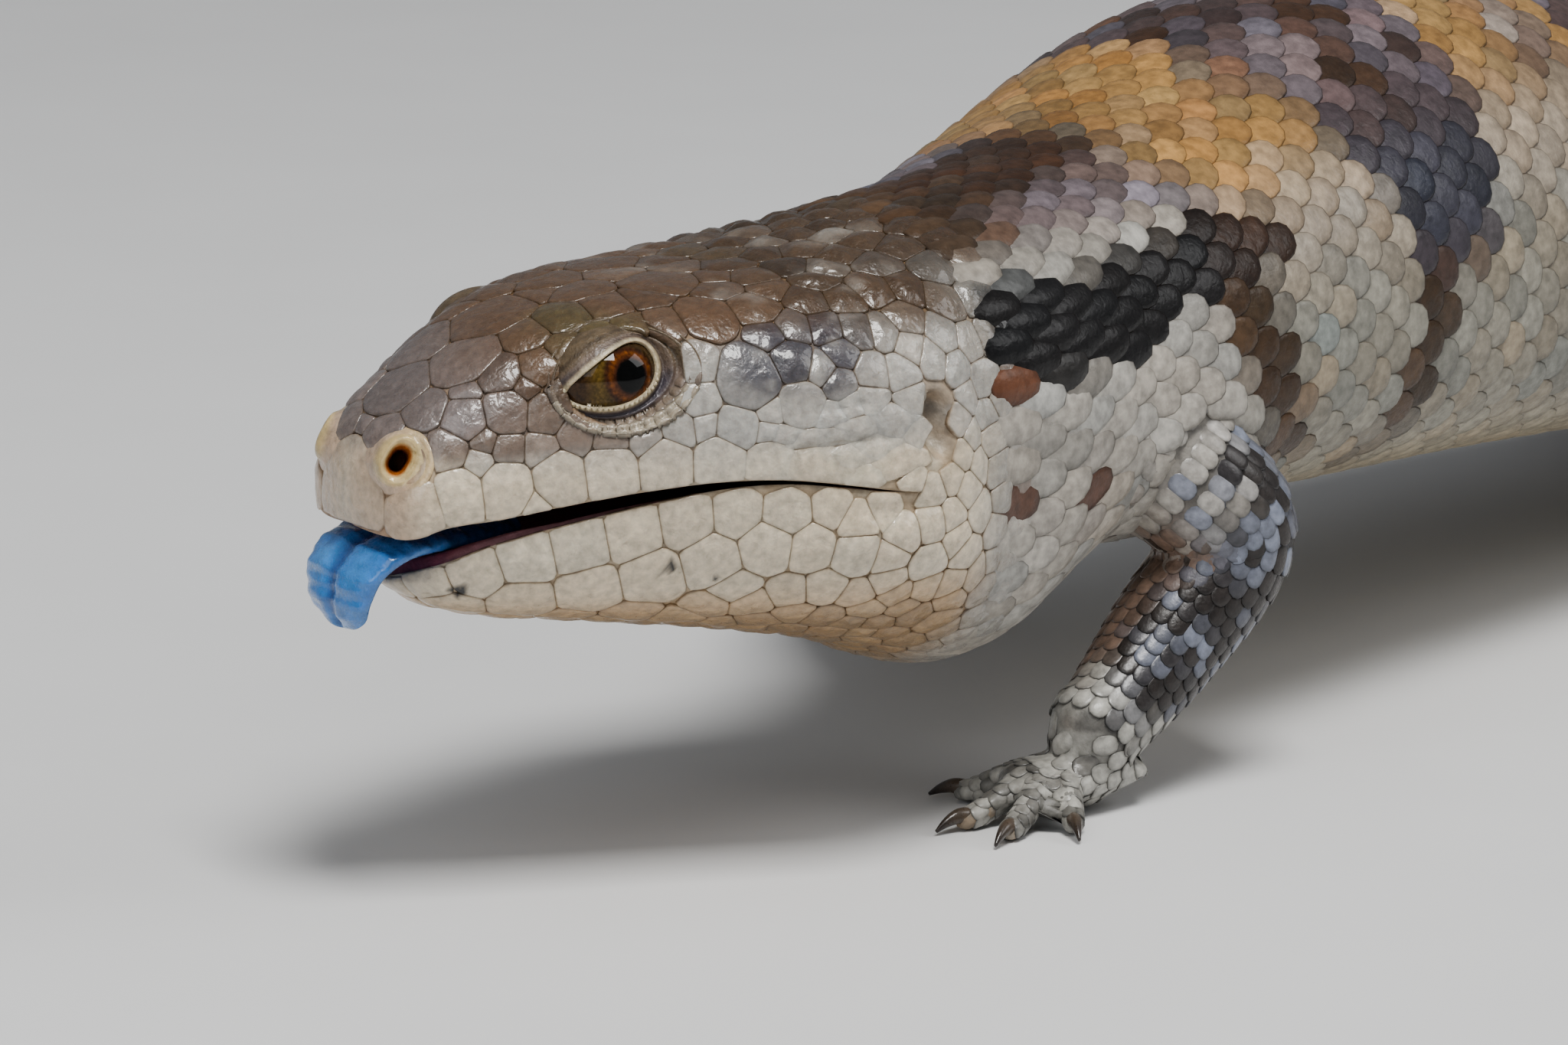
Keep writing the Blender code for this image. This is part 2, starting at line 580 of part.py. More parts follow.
def make_toe(base, aim, length):
    """A toe that arches a little from the foot down to its tip, and its claw."""
    ahead = Vector((math.cos(aim), math.sin(aim), 0))
    centres = [base + ahead * (length * far) + Vector((0, 0, up)) for far, up in TOE_ARCH]
    radii = np.linspace(TOE_RADIUS, TOE_TIP_RADIUS, len(centres))
    nose = centres[-1] + ahead * 0.9
    toe = tube("toe", centres, radii, TOE_SIDES, "limb_skin", tip=nose)
    root = centres[-1] + Vector((0, 0, 0.15))
    bends = ((-0.6, 0.1), (0.9, 0.35), (CLAW_LENGTH * 0.65, -0.05), (CLAW_LENGTH, -0.75))
    line = [root + ahead * far + Vector((0, 0, up)) for far, up in bends]
    radii = (CLAW_RADIUS, CLAW_RADIUS, CLAW_RADIUS * 0.6)
    claw = tube("claw", line[:-1], radii, CLAW_SIDES, "limb_skin", tip=line[-1])
    return [toe, claw]


def make_foot(node, name):
    """Ankle, palm or sole, five toes and their claws, joined, and trimmed flat on the floor."""
    kind = name.split("_")[1]
    inwards = -1 if name.startswith("left") else 1
    (x, y, z), size = LIMBS[name][-1]
    ankle = Vector((SNOUT[0] + x, SNOUT[1] + y, z))
    aim = math.radians(FOOT_AIM[name])
    ahead = Vector((math.cos(aim), math.sin(aim), 0))
    length, half = PALM_LENGTH[kind], PALM_HALF_WIDTH[kind]
    heel = Vector((ankle.x, ankle.y, PALM_LIFT)) - ahead * 2.5
    foot = tube(node, [ankle + Vector((0, 0, 1)), ankle.lerp(heel + ahead * 3, 0.5), heel + ahead * 4],
                (size * JOINT_NARROWING, size * 0.9, size * 0.7), LIMB_SIDES, "limb_skin", flat=0.94)
    palm = tube("palm", [heel + ahead * (length * t) for t in (0, 0.3, 0.62, 0.92)],
                [half * w for w in (0.62, 0.86, 1, 0.86)], PALM_SIDES, "limb_skin", flat=PALM_FLATNESS,
                tip=heel + ahead * (length * 1.06), back=heel - ahead * (length * 0.12))
    pieces = [palm]
    for toe_length, fan in zip(TOE_LENGTHS[kind], TOE_SPREAD[kind]):
        turn = aim + inwards * math.radians(fan)
        root = Vector((heel.x, heel.y, 0)) + ahead * (length * 0.66)
        root += Vector((math.cos(turn), math.sin(turn), 0)) * (half * 0.5)
        pieces += make_toe(root, turn, toe_length)
    combine(foot, pieces, "UNION")
    combine(foot, [floor_block(), hidden(limb_tube("shin_cutter", name, 1, GAP))], "DIFFERENCE")


def make_limbs():
    """Each limb in three: its root cut to the body's side, and each length cut to the one before."""
    spans = {"fore": (70, 130), "hind": (236, 299)}
    names = {"fore": ("upper_arm", "forearm", "hand"), "hind": ("thigh", "shin", "foot")}
    for name in LIMBS:
        side, kind = name.split("_")
        upper, lower, foot = (f"{side}_{part}" for part in names[kind])
        combine(limb_tube(upper, name, 0), [body_cutter(*spans[kind])], "DIFFERENCE")
        combine(limb_tube(lower, name, 1), [hidden(limb_tube("thigh_cutter", name, 0, GAP))], "DIFFERENCE")
        make_foot(foot, name)


for old in list(bpy.data.objects):
    bpy.data.objects.remove(old)
make_head()
make_jaw()
make_eyes()
make_tongue()
make_trunk()
make_limbs()
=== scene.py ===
"""Looks of the life-size blue tongued skink: its skin, shields, scales, eyelids, eyes, tongue and claws.

Working units are millimetres, turned into metres when a mesh is made. The nose points towards +X and the
animal's left side towards +Y. s is the distance back from the snout's tip along the spine.
"""

import math

import bmesh
import bpy
import numpy as np
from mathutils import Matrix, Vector
from mathutils.bvhtree import BVHTree
from mathutils.kdtree import KDTree


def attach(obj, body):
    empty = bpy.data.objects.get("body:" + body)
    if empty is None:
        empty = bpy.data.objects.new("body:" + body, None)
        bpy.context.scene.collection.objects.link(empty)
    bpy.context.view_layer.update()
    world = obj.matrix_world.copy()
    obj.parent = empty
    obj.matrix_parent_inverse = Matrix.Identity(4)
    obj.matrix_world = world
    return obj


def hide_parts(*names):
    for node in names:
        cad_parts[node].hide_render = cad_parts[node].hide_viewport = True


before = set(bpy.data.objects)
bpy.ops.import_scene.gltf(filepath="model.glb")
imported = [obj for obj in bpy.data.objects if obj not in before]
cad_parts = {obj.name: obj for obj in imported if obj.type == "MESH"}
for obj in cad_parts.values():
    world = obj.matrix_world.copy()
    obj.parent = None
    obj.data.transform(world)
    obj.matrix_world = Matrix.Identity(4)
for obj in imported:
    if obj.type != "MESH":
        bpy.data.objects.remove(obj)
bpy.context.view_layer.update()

MM = 0.001
SNOUT = (231.5, -10.8)  # x and y of the snout's tip from the origin
JAW_TIP, MOUTH_CORNER, HEAD_END, TAIL_TIP = 3.6, 49.0, 59.0, 478.0
SNOUT_ROUND, CHIN_ROUND, TAIL_ROUND = 3.0, 4.0, 5.0
COAT = 0.45  # depth of the skin under the scales' outer surface

# The body's own curves: rows of (place along the spine, value), as the solids have them.
HEADING = ((0, -17), (25, -17), (48, -17), (60, -7), (74, 8), (84, 11), (98, 12), (145, 6), (190, 0),
           (240, -7.5), (290, -14), (320, -11.5), (350, -5), (385, 5), (420, 16), (478, 32))
TOP = ((0, 46.2), (5, 49.8), (9.5, 52.8), (14, 55.2), (19, 57), (26, 58.3), (34, 58.8), (42, 59.4),
       (50, 60.4), (60, 61.7), (70, 62.6), (80, 63.4), (92, 64.7), (105, 66.6), (118, 69.6), (131, 72.2),
       (148, 73), (165, 72.4), (190, 69.4), (215, 65.5), (245, 60), (270, 54.5), (290, 49), (310, 43.5),
       (335, 36), (360, 29.3), (395, 21.4), (435, 13.4), (465, 7.4), (478, 4.6))
UPPER_LIP = ((0, 36.6), (1.5, 37.1), (4.5, 38.2), (9, 38.8), (15, 39.8), (22, 40.9), (30, 41.5),
             (37, 41.2), (43, 40.2), (49, 38.9), (56, 38.2), (66, 38.4), (80, 39.6), (100, 41.4),
             (125, 41.8), (182, 38.5), (245, 31), (290, 25.5), (310, 21.5), (335, 16.5), (360, 12.5),
             (395, 9.2), (435, 6.2), (465, 3.6), (478, 2.2))
LOWER_LIP = ((3, 32.8), (5, 33.8), (8, 35.4), (12, 36.8), (17, 38.1), (23, 39.5), (30, 40.7), (37, 40.8),
             (43, 39.9), (49, 38.6), (56, 37.9), (66, 38.1))
BOTTOM = ((3, 30.6), (6, 29.2), (10, 27.8), (20, 26), (30, 24.4), (40, 22.6), (50, 20), (56, 17.4),
          (61, 16), (65, 16.6), (70, 20), (75, 23.2), (80, 24.4), (90, 24), (104, 23.4), (125, 22),
          (150, 20.4), (182, 18), (215, 15), (245, 12), (270, 9.4), (290, 8), (310, 5.2), (330, 1.8),
          (345, 0.3), (360, 0.1), (435, 0.1), (478, 0.2))
HALF_WIDTH = ((0, 9.5), (3, 10.1), (6, 11.1), (10, 12.6), (15, 14.2), (22, 17), (30, 19.8), (38, 22),
              (45, 23.2), (51, 23.3), (58, 22.2), (66, 21.2), (76, 21.6), (88, 24), (102, 26.6),
              (125, 29.8), (150, 31.8), (182, 32.4), (215, 31.6), (245, 28.6), (270, 24.4), (290, 20.6),
              (310, 17.6), (335, 15.2), (360, 13.2), (395, 10.2), (435, 6.6), (465, 3.8), (478, 2.4))
JAW_HALF_WIDTH = ((3, 6.4), (6, 8.6), (10, 11), (15, 13.4), (22, 16.3), (30, 19.3), (38, 21.7),
                  (45, 23), (51, 23.2), (58, 22.2), (66, 21.2))
UPPER_POWER = ((0, 2.6), (12, 3), (22, 3.1), (36, 3), (50, 2.7), (64, 2.4), (90, 2.2), (300, 2.1),
               (478, 2))
LOWER_POWER = ((3, 2.4), (30, 2.5), (50, 2.4), (66, 2.3), (100, 2.4), (180, 2.6), (290, 2.4),
               (478, 2.1))
PALATE_RISE = ((0, 1.2), (6, 2.4), (20, 3.4), (36, 2.6), (45, 0.6), (49, 0), (66, 0))
MOUTH_DIP = ((3, 0.8), (8, 2.8), (16, 4.4), (24, 4.8), (36, 3.4), (45, 0.7), (49, 0), (66, 0))
# Swellings and hollows of the sides: place along, height, reach each way, how far out.
RELIEF = (
    ("brow ridge", 22, 55.4, 9, 2.2, 1.5),
    ("orbit", 22.4, 50.6, 5.6, 3, -0.4),
    ("hollow before the eye", 12, 49, 4.5, 3, -0.6),
    ("upper lip", 20, 41.2, 22, 2, 0.5),
    ("temple", 40, 51, 9, 6, 0.9),
    ("jaw muscle", 45, 33, 8, 6, 1.2),
    ("fold under the ear", 60, 34, 3, 14, -1.2),
    ("throat fold", 80, 30, 5, 12, -0.9),
)
# Finer creases, which only the skin has, in the same form.
CREASES = (
    ("fold behind the mouth", 47.5, 37.5, 3.5, 1.0, -0.8),
    ("cheek crease", 43, 44.5, 6, 0.9, -0.5),
    ("upper cheek crease", 42, 47.8, 6, 0.8, -0.45),
    ("fold of the neck", 56, 46, 1.3, 9, -0.8),
    ("second fold of the neck", 63.5, 40, 1.4, 9, -0.7),
    ("third fold of the neck", 69, 37, 1.5, 9, -0.6),
    ("armpit fold", 75.5, 33, 1.6, 8, -1.0),
)

EYE_AT, EYE_RADIUS, EYE_RISE = (21.8, 10.9, 51.1), 4.8, 10.0
EYE_LENGTH = 5.8  # half length of the eye's surface between its corners
IRIS, PUPIL, CORNEA_RISE = 2.45, 1.64, 0.25  # two radii, and how far the cornea stands out
# The opening between the lids: half its length, how far it sits forwards, its heights and its forward fall.
LID_HALF_LENGTH, LID_FORWARD, LID_TOP, LID_BOTTOM, LID_DROP = 4.4, 1.1, 2.65, 2.7, 1.0
SOCKET_GAP = 0.7  # between the eyeball and the skin sunk under it
EAR_AT, EAR_SIZE, EAR_DEPTH = (51.0, 23.4, 45.0), (1.5, 3.3), 2.4  # its size is half its length and height
NOSTRIL_AT, NOSTRIL_DEPTH = (1.3, 7.5, 44.8), 3.0
NOSTRIL_AXIS = (0.42, 0.85, 0.25)  # shares of the ways ahead, out and up

# Rows of (s, z), half width and half thickness, from the root to the tip.
TONGUE = (((17, 35.6), 3.4, 1.0), ((13.5, 35.4), 4.6, 1.3), ((10.5, 35.4), 5.6, 1.35),
          ((5.4, 35.6), 6.8, 1.2), ((2.4, 35.1), 6.8, 1.3), ((-0.1, 33.5), 6.4, 1.4),
          ((-1.1, 31), 5.6, 1.35), ((-0.9, 28.9), 4.4, 1.1), ((-0.2, 27.4), 2.4, 0.7))

# Rows of a joint's place from the snout's tip and its radius, from the root to the wrist or ankle.
LIMBS = {
    "left_fore": (((-82, 24, 38), 8.8), ((-85.3, 33, 33), 8.2), ((-91.3, 36, 25.5), 7.2),
                  ((-83.5, 33.5, 15.4), 6.5), ((-73.5, 32.5, 7.6), 5)),
    "right_fore": (((-91, -3, 38), 8.8), ((-99.5, -17, 33), 8.2), ((-109, -26, 25.5), 7.2),
                   ((-118, -30, 15.4), 6.5), ((-128, -32, 7.6), 5)),
    "left_hind": (((-283, 20, 27), 10.2), ((-276, 38, 25), 8.8), ((-274.5, 48, 20.5), 7.2),
                  ((-285, 53, 13), 6.2), ((-295, 56, 6.4), 4.6)),
    "right_hind": (((-278, 2, 27), 10.2), ((-266, -14.5, 25), 8.8), ((-256, -23.5, 20.5), 7.2),
                   ((-261, -31, 13), 6.2), ((-266, -37.5, 6.4), 4.6)),
}
FOOT_AIM = {"left_fore": -25.0, "right_fore": -4.0, "left_hind": 42.0, "right_hind": -24.0}
TOE_LENGTHS = {"fore": (6.2, 7.8, 9.6, 10.0, 6.6), "hind": (6.5, 9.5, 12.0, 13.0, 9.0)}
TOE_SPREAD = {"fore": (92, 46, -12, -40, -72), "hind": (48, 22, 2, -18, -58)}
PALM_LENGTH = {"fore": 9.5, "hind": 12.5}
PALM_HALF_WIDTH = {"fore": 4.9, "hind": 5.3}
PALM_LIFT, PALM_FLATNESS = 3.6, 0.5
TOE_ARCH = ((-0.15, 3.4), (0.2, 3.4), (0.5, 2.6), (0.8, 1.5), (1, 1.1))
TOE_RADIUS, TOE_TIP_RADIUS = 1.75, 1.25
CLAW_LENGTH, CLAW_RADIUS = 3.6, 0.85
FOOT_REACH, FOOT_HEIGHT = 24, 9  # from the wrist, and from the floor
ON_FOOT = 1.2  # share along the limb for places on its foot
HEEL_BACK = 2.5  # how far the heel lies behind the ankle
PALM_SHARES, PALM_WIDTHS = (-0.05, 0.3, 0.62, 0.92), (0.62, 0.86, 1, 0.86)
WRIST_WIDTHS = (0.93, 0.85, 0.66)
LIMB_COAT, PALM_COAT, TOE_COAT = 0.35, 0.2, 0.12  # depth of the skin under the small scales
# Rows of how far each bend of a claw lies out from the toe's tip, and how high.
CLAW_BENDS = ((-0.6, 0.1), (0.9, 0.35), (CLAW_LENGTH * 0.65, -0.05), (CLAW_LENGTH, -0.75))

SIDES = ((1, "left"), (-1, "right"))
UP = np.array([0, 0, 1.0])
VOXEL = 0.5  # size of the cells in which a limb's parts are joined
SKIN_GAP, CLAW_GAP, SCALE_GAP, ROOT_GAP = 0.02, 0.03, 0.05, 0.3  # least heights of these above the floor
SKIN_SHADE = 0.8  # of the skin between the scales
MERGE = 2e-6  # metres: points of a lofted piece nearer than this become one
HEAD_REACH = 90  # s up to which the head's search trees reach
FLOOR_SIZE, FLOOR_SHADES = 12, (0.68, 0.72)  # metres, and its darkest and lightest grey
FLOOR_CLOUD = 1000 / 30  # size of the floor's faint clouds

# Named colours, linear.
CREAM = (0.60, 0.52, 0.40)
PALE = (0.42, 0.395, 0.355)
SNOUT_GREY = (0.175, 0.145, 0.135)
LOREAL_TAN = (0.22, 0.165, 0.130)
BROWN = (0.118, 0.070, 0.040)
OLIVE = (0.125, 0.092, 0.042)
NECK_BROWN = (0.072, 0.045, 0.026)
NOSE_YELLOW = (0.56, 0.43, 0.22)
ROSTRAL_PINK = (0.47, 0.325, 0.225)
BLACK = (0.007, 0.006, 0.006)
DARK_BROWN = (0.050, 0.025, 0.014)
OCHRE = (0.30, 0.178, 0.068)
PURPLE_GREY = (0.100, 0.075, 0.083)
BLUE_BLACK = (0.030, 0.031, 0.045)
RUST = (0.095, 0.038, 0.020)
FLANK = (0.245, 0.228, 0.188)
BELLY = (0.36, 0.31, 0.225)
LAVENDER = (0.145, 0.122, 0.135)
STONE = (0.29, 0.268, 0.235)
TRAIL = (0.052, 0.024, 0.008)
SEAM = (0.37, 0.24, 0.125)
LINING = (0.20, 0.050, 0.070)
LIP_PINK = (0.48, 0.28, 0.30)
LEG_DARK = (0.028, 0.023, 0.021)
LEG_BLUE = (0.22, 0.24, 0.30)
LEG_INNER = (0.20, 0.138, 0.105)
TOE_GREY = (0.34, 0.33, 0.30)
NOSTRIL_RED = (0.42, 0.14, 0.035)
NOSTRIL_BORDER = (0.50, 0.37, 0.27)
# The next two are painted shade, laid deep in the nostrils and in the ears' openings.
NOSTRIL_PAINTED_SHADE = (0.10, 0.018, 0.010)
EAR_PAINTED_SHADE = (0.030, 0.016, 0.012)


def curve(rows):
    """A smooth function through rows of (place, value): cubic pieces with slopes from the neighbours."""
    at, value = np.array(rows, float).T
    slope = np.gradient(value, at)

    def read(x):
        """The function's value at x."""
        x = np.asarray(x, float)
        i = np.clip(np.searchsorted(at, x) - 1, 0, len(at) - 2)
        step = at[i + 1] - at[i]
        t = np.clip((x - at[i]) / step, 0, 1)
        rise = value[i + 1] - value[i]
        bend = (slope[i] * step - rise) * (1 - t) + (rise - slope[i + 1] * step) * t
        return value[i] + rise * t + t * (1 - t) * bend

    return read


heading, top, bottom = curve(HEADING), curve(TOP), curve(BOTTOM)
upper_lip, lower_lip = curve(UPPER_LIP), curve(LOWER_LIP)
half_width, jaw_half_width = curve(HALF_WIDTH), curve(JAW_HALF_WIDTH)
upper_power, lower_power = curve(UPPER_POWER), curve(LOWER_POWER)
palate_rise, mouth_dip = curve(PALATE_RISE), curve(MOUTH_DIP)

STEP = 0.5
WALK = np.arange(0, TAIL_TIP + STEP, STEP)
TURN = np.radians(heading(WALK + STEP / 2))
SPINE_X = SNOUT[0] - np.concatenate([[0], np.cumsum(np.cos(TURN))[:-1]]) * STEP
SPINE_Y = SNOUT[1] - np.concatenate([[0], np.cumsum(np.sin(TURN))[:-1]]) * STEP


def smooth(x, low, high):
    """0 below low, 1 above high and an even change between them."""
    t = np.clip((x - low) / (high - low), 0, 1)
    return t * t * (3 - 2 * t)


def mix(a, b, share):
    """Colour a where share is 0, b where it is 1, and between them elsewhere."""
    return np.asarray(a) + (np.asarray(b) - np.asarray(a)) * np.asarray(share)[..., None]


def unit(v):
    """Vectors of length 1."""
    return v / np.maximum(np.linalg.norm(v, axis=-1, keepdims=True), 1e-12)


def run_length(points):
    """Distance along a line of points from its first point to each of them."""
    return np.concatenate([[0], np.cumsum(np.linalg.norm(np.diff(points, axis=0), axis=1))])


def read_line(at, places, line):
    """Points of a line at the given places, read between its own points, whose places are given too."""
    return np.stack([np.interp(at, places, column) for column in line.T], axis=-1)


def level_ways(turn):
    """The level ways ahead and to the left for a heading in radians."""
    ahead = np.array([math.cos(turn), math.sin(turn), 0.0])
    return ahead, np.array([-ahead[1], ahead[0], 0.0])


def noise(points, size, seed=0):
    """Smooth random values from 0 to 1 over space, with features of the given size."""
    q = np.asarray(points, float) / size + 17.3 * (seed + 1)
    cell = np.floor(q).astype(np.int64)
    t = q - cell
    t = t * t * (3 - 2 * t)
    total = 0.0
    for corner in range(8):
        bit = np.array([(corner >> k) & 1 for k in range(3)])
        key = ((cell + bit) * np.array([73856093, 19349663, 83492791])).sum(axis=-1) + seed * 2654435
        key = (key ^ (key >> 13)) * 1274126177
        value = ((key ^ (key >> 16)) & 0xFFFF) / 65535.0
        total = total + value * np.prod(np.where(bit == 1, t, 1 - t), axis=-1)
    return total


def place(s, side, z):
    """Points at s along the spine, side to the animal's left and z above the floor. s may be under 0."""
    s, side, z = np.broadcast_arrays(np.asarray(s, float), side, z)
    turn = np.radians(heading(s))
    x = np.interp(s, WALK, SPINE_X) - np.minimum(s, 0) * np.cos(turn)
    y = np.interp(s, WALK, SPINE_Y) - np.minimum(s, 0) * np.sin(turn)
    return np.stack([x - side * np.sin(turn), y + side * np.cos(turn), z], axis=-1)


def along_spine(points):
    """Place along the spine, side and height of points near the body."""
    points = np.asarray(points, float)
    gap = (points[..., 0, None] - SPINE_X[::2]) ** 2 + (points[..., 1, None] - SPINE_Y[::2]) ** 2
    s = WALK[::2][np.argmin(gap, axis=-1)]
    turn = np.radians(heading(s))
    dx = points[..., 0] - np.interp(s, WALK, SPINE_X)
    dy = points[..., 1] - np.interp(s, WALK, SPINE_Y)
    s = s - dx * np.cos(turn) - dy * np.sin(turn)
    return s, dy * np.cos(turn) - dx * np.sin(turn), points[..., 2]


def rounding(s, tip, length):
    """Share of a section's full size near a tip that is rounded off over the given length."""
    t = min(max(abs(s - tip) / length, 0.0), 1.0)
    return math.sqrt(max(1 - (1 - t) ** 2, 0.0))


def quarter(width, height, power, count):
    """A quarter of a superellipse from (0, height) to (width, 0) as count + 1 points, evenly spaced."""
    a = np.linspace(0, math.pi / 2, 121)
    y = width * np.sin(a) ** (2 / power)
    z = height * np.cos(a) ** (2 / power)
    run = np.concatenate([[0], np.cumsum(np.hypot(np.diff(y), np.diff(z)))])
    even = np.linspace(0, run[-1], count + 1)
    return np.stack([np.interp(even, run, y), np.interp(even, run, z)], axis=1)


def relief(s, points, half):
    """Moves the side points of a section out or in by the swellings, hollows and creases."""
    side = np.clip(points[:, 0] / max(half, 0.1), 0, 1) ** 2
    out = sum(far * np.exp(-(((s - at) / along) ** 2) - ((points[:, 1] - z) / up) ** 2)
              for _, at, z, along, up, far in RELIEF + CREASES)
    moved = points.copy()
    moved[:, 0] += out * side * min(1.0, half)
    return moved


def upper_quarter(s):
    """The skin from the middle of the back down to the lip or the side line."""
    size = rounding(s, 0, SNOUT_ROUND) * rounding(s, TAIL_TIP, TAIL_ROUND)
    lip = float(upper_lip(s))
    middle = 0.5 * (float(top(s)) + lip)
    low = lip + (middle - lip) * (1 - size) * (0.2 if s < HEAD_END else 1)
    high = middle + (float(top(s)) - COAT - middle) * size
    half = (float(half_width(s)) - COAT) * size
    points = quarter(half, high - low, float(upper_power(s)), UPPER_SIDES)
    points[:, 1] += low
    return relief(s, points, half)


def lower_quarter(s):
    """The skin from the lip or the side line down to the middle of the belly."""
    size = rounding(s, JAW_TIP, CHIN_ROUND) * rounding(s, TAIL_TIP, TAIL_ROUND)
    join = float(smooth(s, MOUTH_CORNER - 5, MOUTH_CORNER))
    lip = float(lower_lip(s)) * (1 - join) + float(upper_lip(s)) * join
    half = float(jaw_half_width(s)) * (1 - join) + float(half_width(s)) * join
    middle = lip - 1.2 if s < HEAD_END else 0.5 * (float(top(s)) + lip)
    high = middle + (lip - middle) * size
    lift = COAT * float(smooth(bottom(s), 0.5, 4.0))
    low = middle + (float(bottom(s)) + lift - middle) * size
    half = (half - COAT) * size
    points = quarter(half, low - high, float(lower_power(s)), LOWER_SIDES)[::-1]
    points[:, 1] += high
    return relief(s, points, half)


def near_tip(tip, length, count=12):
    """Places of sections close behind a tip, denser towards it."""
    return tip + length * (1 - np.cos(math.pi / 2 * np.arange(count) / count))


UPPER_SIDES, LOWER_SIDES = 88, 56
AHEAD = np.concatenate([np.arange(8.2, MOUTH_CORNER - 0.2, 0.5), np.arange(MOUTH_CORNER, 66, 0.6)])
REST = np.arange(66, TAIL_TIP - TAIL_ROUND, 1.8)
TAIL = TAIL_TIP - TAIL_ROUND + TAIL_ROUND * np.sin(math.pi / 2 * np.arange(0, 11) / 10)
UPPER_S = np.concatenate([near_tip(0, SNOUT_ROUND), np.arange(SNOUT_ROUND, 8, 0.45), AHEAD, REST, TAIL])
LOWER_S = np.concatenate([near_tip(JAW_TIP, CHIN_ROUND), [JAW_TIP + CHIN_ROUND], AHEAD, REST, TAIL])


def both_sides(s, left):
    """Points of a whole section, from the side and z of its left half from the middle to the edge."""
    whole = np.concatenate([(left[::-1] * (-1, 1))[:-1], left])
    return place(s, whole[:, 0], whole[:, 1])


def smooth_line(at, points, share):
    """A smooth line through points at the places at, read at share."""
    return np.stack([curve(list(zip(at, column)))(share) for column in zip(*points)], axis=1)


def limb_line(name, count=61):
    """Centres and radii of a limb from its root inside the body to its wrist or ankle."""
    joints = LIMBS[name]
    share = np.linspace(0, 1, count)
    at = np.linspace(0, 1, len(joints))
    line = smooth_line(at, [centre for centre, _ in joints], share) + (*SNOUT, 0)
    return line, curve(list(zip(at, [radius for _, radius in joints])))(share)


def fillet(points, normals, reach=7.0):
    """Raises skin within reach of a limb, so that the limb grows out of the body in a smooth hollow."""
    moved = points.copy()
    for name in LIMBS:
        line, size = (part[:18] for part in limb_line(name, 31))  # its upper half
        gap = np.linalg.norm(points[..., None, :] - line, axis=-1) - size + COAT
        near = np.clip(reach - np.abs(gap.min(axis=-1)), 0, None)
        moved += normals * (near ** 2 / (4 * reach) * 0.9)[..., None]
    return moved


def table_normals(table):
    """Unit normals of a table of points, pointing away from each row's middle."""
    along = np.gradient(table, axis=0)
    across = np.gradient(table, axis=1)
    normal = unit(np.cross(along, across))
    out = table - table.mean(axis=1, keepdims=True)
    return normal * np.sign((normal * out).sum(axis=-1).mean(axis=1))[:, None, None]


def eye_frame(side):
    """Centre of an eye, and the ways out, forwards and up there."""
    rise = math.radians(EYE_RISE)
    front, left = level_ways(math.radians(float(heading(0))))
    out = left * side * math.cos(rise) + UP * math.sin(rise)
    up = unit(UP - out * out[2])
    return place(EYE_AT[0], side * EYE_AT[1], EYE_AT[2]), out, front, up


def nostril_frame(side):
    """Centre of a nostril, its axis, and the ways back and up across it."""
    ahead, left = level_ways(math.radians(float(heading(0))))
    axis = unit(ahead * NOSTRIL_AXIS[0] + left * (side * NOSTRIL_AXIS[1]) + UP * NOSTRIL_AXIS[2])
    back = unit(-ahead + axis * ahead.dot(axis))
    up = unit(UP - axis * axis[2] - back * back[2])
    return place(NOSTRIL_AT[0], side * NOSTRIL_AT[1], NOSTRIL_AT[2]), axis, back, up


def ear_place(side, rise=0.0):
    """The middle of an ear, or a place over it."""
    return place(EAR_AT[0], side * EAR_AT[1], EAR_AT[2] + rise)


def beside(off, axis):
    """How far offsets reach away from an axis."""
    return np.linalg.norm(off - axis * (off @ axis)[..., None], axis=-1)


def eye_depth(x, z):
    """How far out of the eye's middle its surface is, at x forwards and z up. It is longer than high."""
    return EYE_RADIUS * np.sqrt(np.clip(1 - (x / EYE_LENGTH) ** 2 - (z / EYE_RADIUS) ** 2, 0, None))


def openings(points):
    """Sinks the skin under the eyeballs, in the nostrils and in the ears."""
    moved = points.copy()
    for side, _ in SIDES:
        centre, out, front, up = eye_frame(side)
        off = moved - centre
        x, z, depth = off @ front, off @ up, off @ out
        limit = eye_depth(x, z) - SOCKET_GAP
        share = 1 - smooth(np.hypot(x / EYE_LENGTH, z / EYE_RADIUS), 0.86, 0.98)
        lower = np.where(depth > 0, np.clip(depth - limit, 0, None) * share, 0)
        moved -= out * lower[..., None]
        centre, axis, _, _ = nostril_frame(side)
        off = moved - centre
        near = (np.abs(off @ axis) < 4) * (1 - smooth(beside(off, axis), 1.2, 2.2))
        moved -= axis * (NOSTRIL_DEPTH * near)[..., None]
        off = moved - ear_place(side)
        ahead, left = level_ways(math.radians(float(heading(EAR_AT[0]))))
        shape = np.hypot((off @ ahead) / EAR_SIZE[0], off[..., 2] / EAR_SIZE[1])
        near = (np.abs(off @ left) < 6) * (1 - smooth(shape, 0.55, 1.15))
        moved -= left * (side * EAR_DEPTH * near)[..., None]
    return moved


def filleted_tables():
    """The two tables with the limbs' fillets. Their shared edges behind the mouth move alike."""
    upper = np.array([both_sides(s, upper_quarter(s)) for s in UPPER_S])
    lower = np.array([both_sides(s, lower_quarter(s)[::-1]) for s in LOWER_S])
    up, down = table_normals(upper), table_normals(lower)
    behind_up, behind_down = UPPER_S >= MOUTH_CORNER, LOWER_S >= MOUTH_CORNER
    for edge in (0, -1):
        shared = unit(up[behind_up, edge] + down[behind_down, edge])
        up[behind_up, edge], down[behind_down, edge] = shared, shared
    return fillet(upper, up), fillet(lower, down)


UPPER, LOWER = filleted_tables()


def grid_faces(rows, columns, start=0):
    """The quads of a table of points, counted from start."""
    i, j = np.meshgrid(np.arange(rows - 1), np.arange(columns - 1), indexing="ij")
    a = start + i * columns + j
    return np.stack([a, a + 1, a + columns + 1, a + columns], axis=-1).reshape(-1, 4)


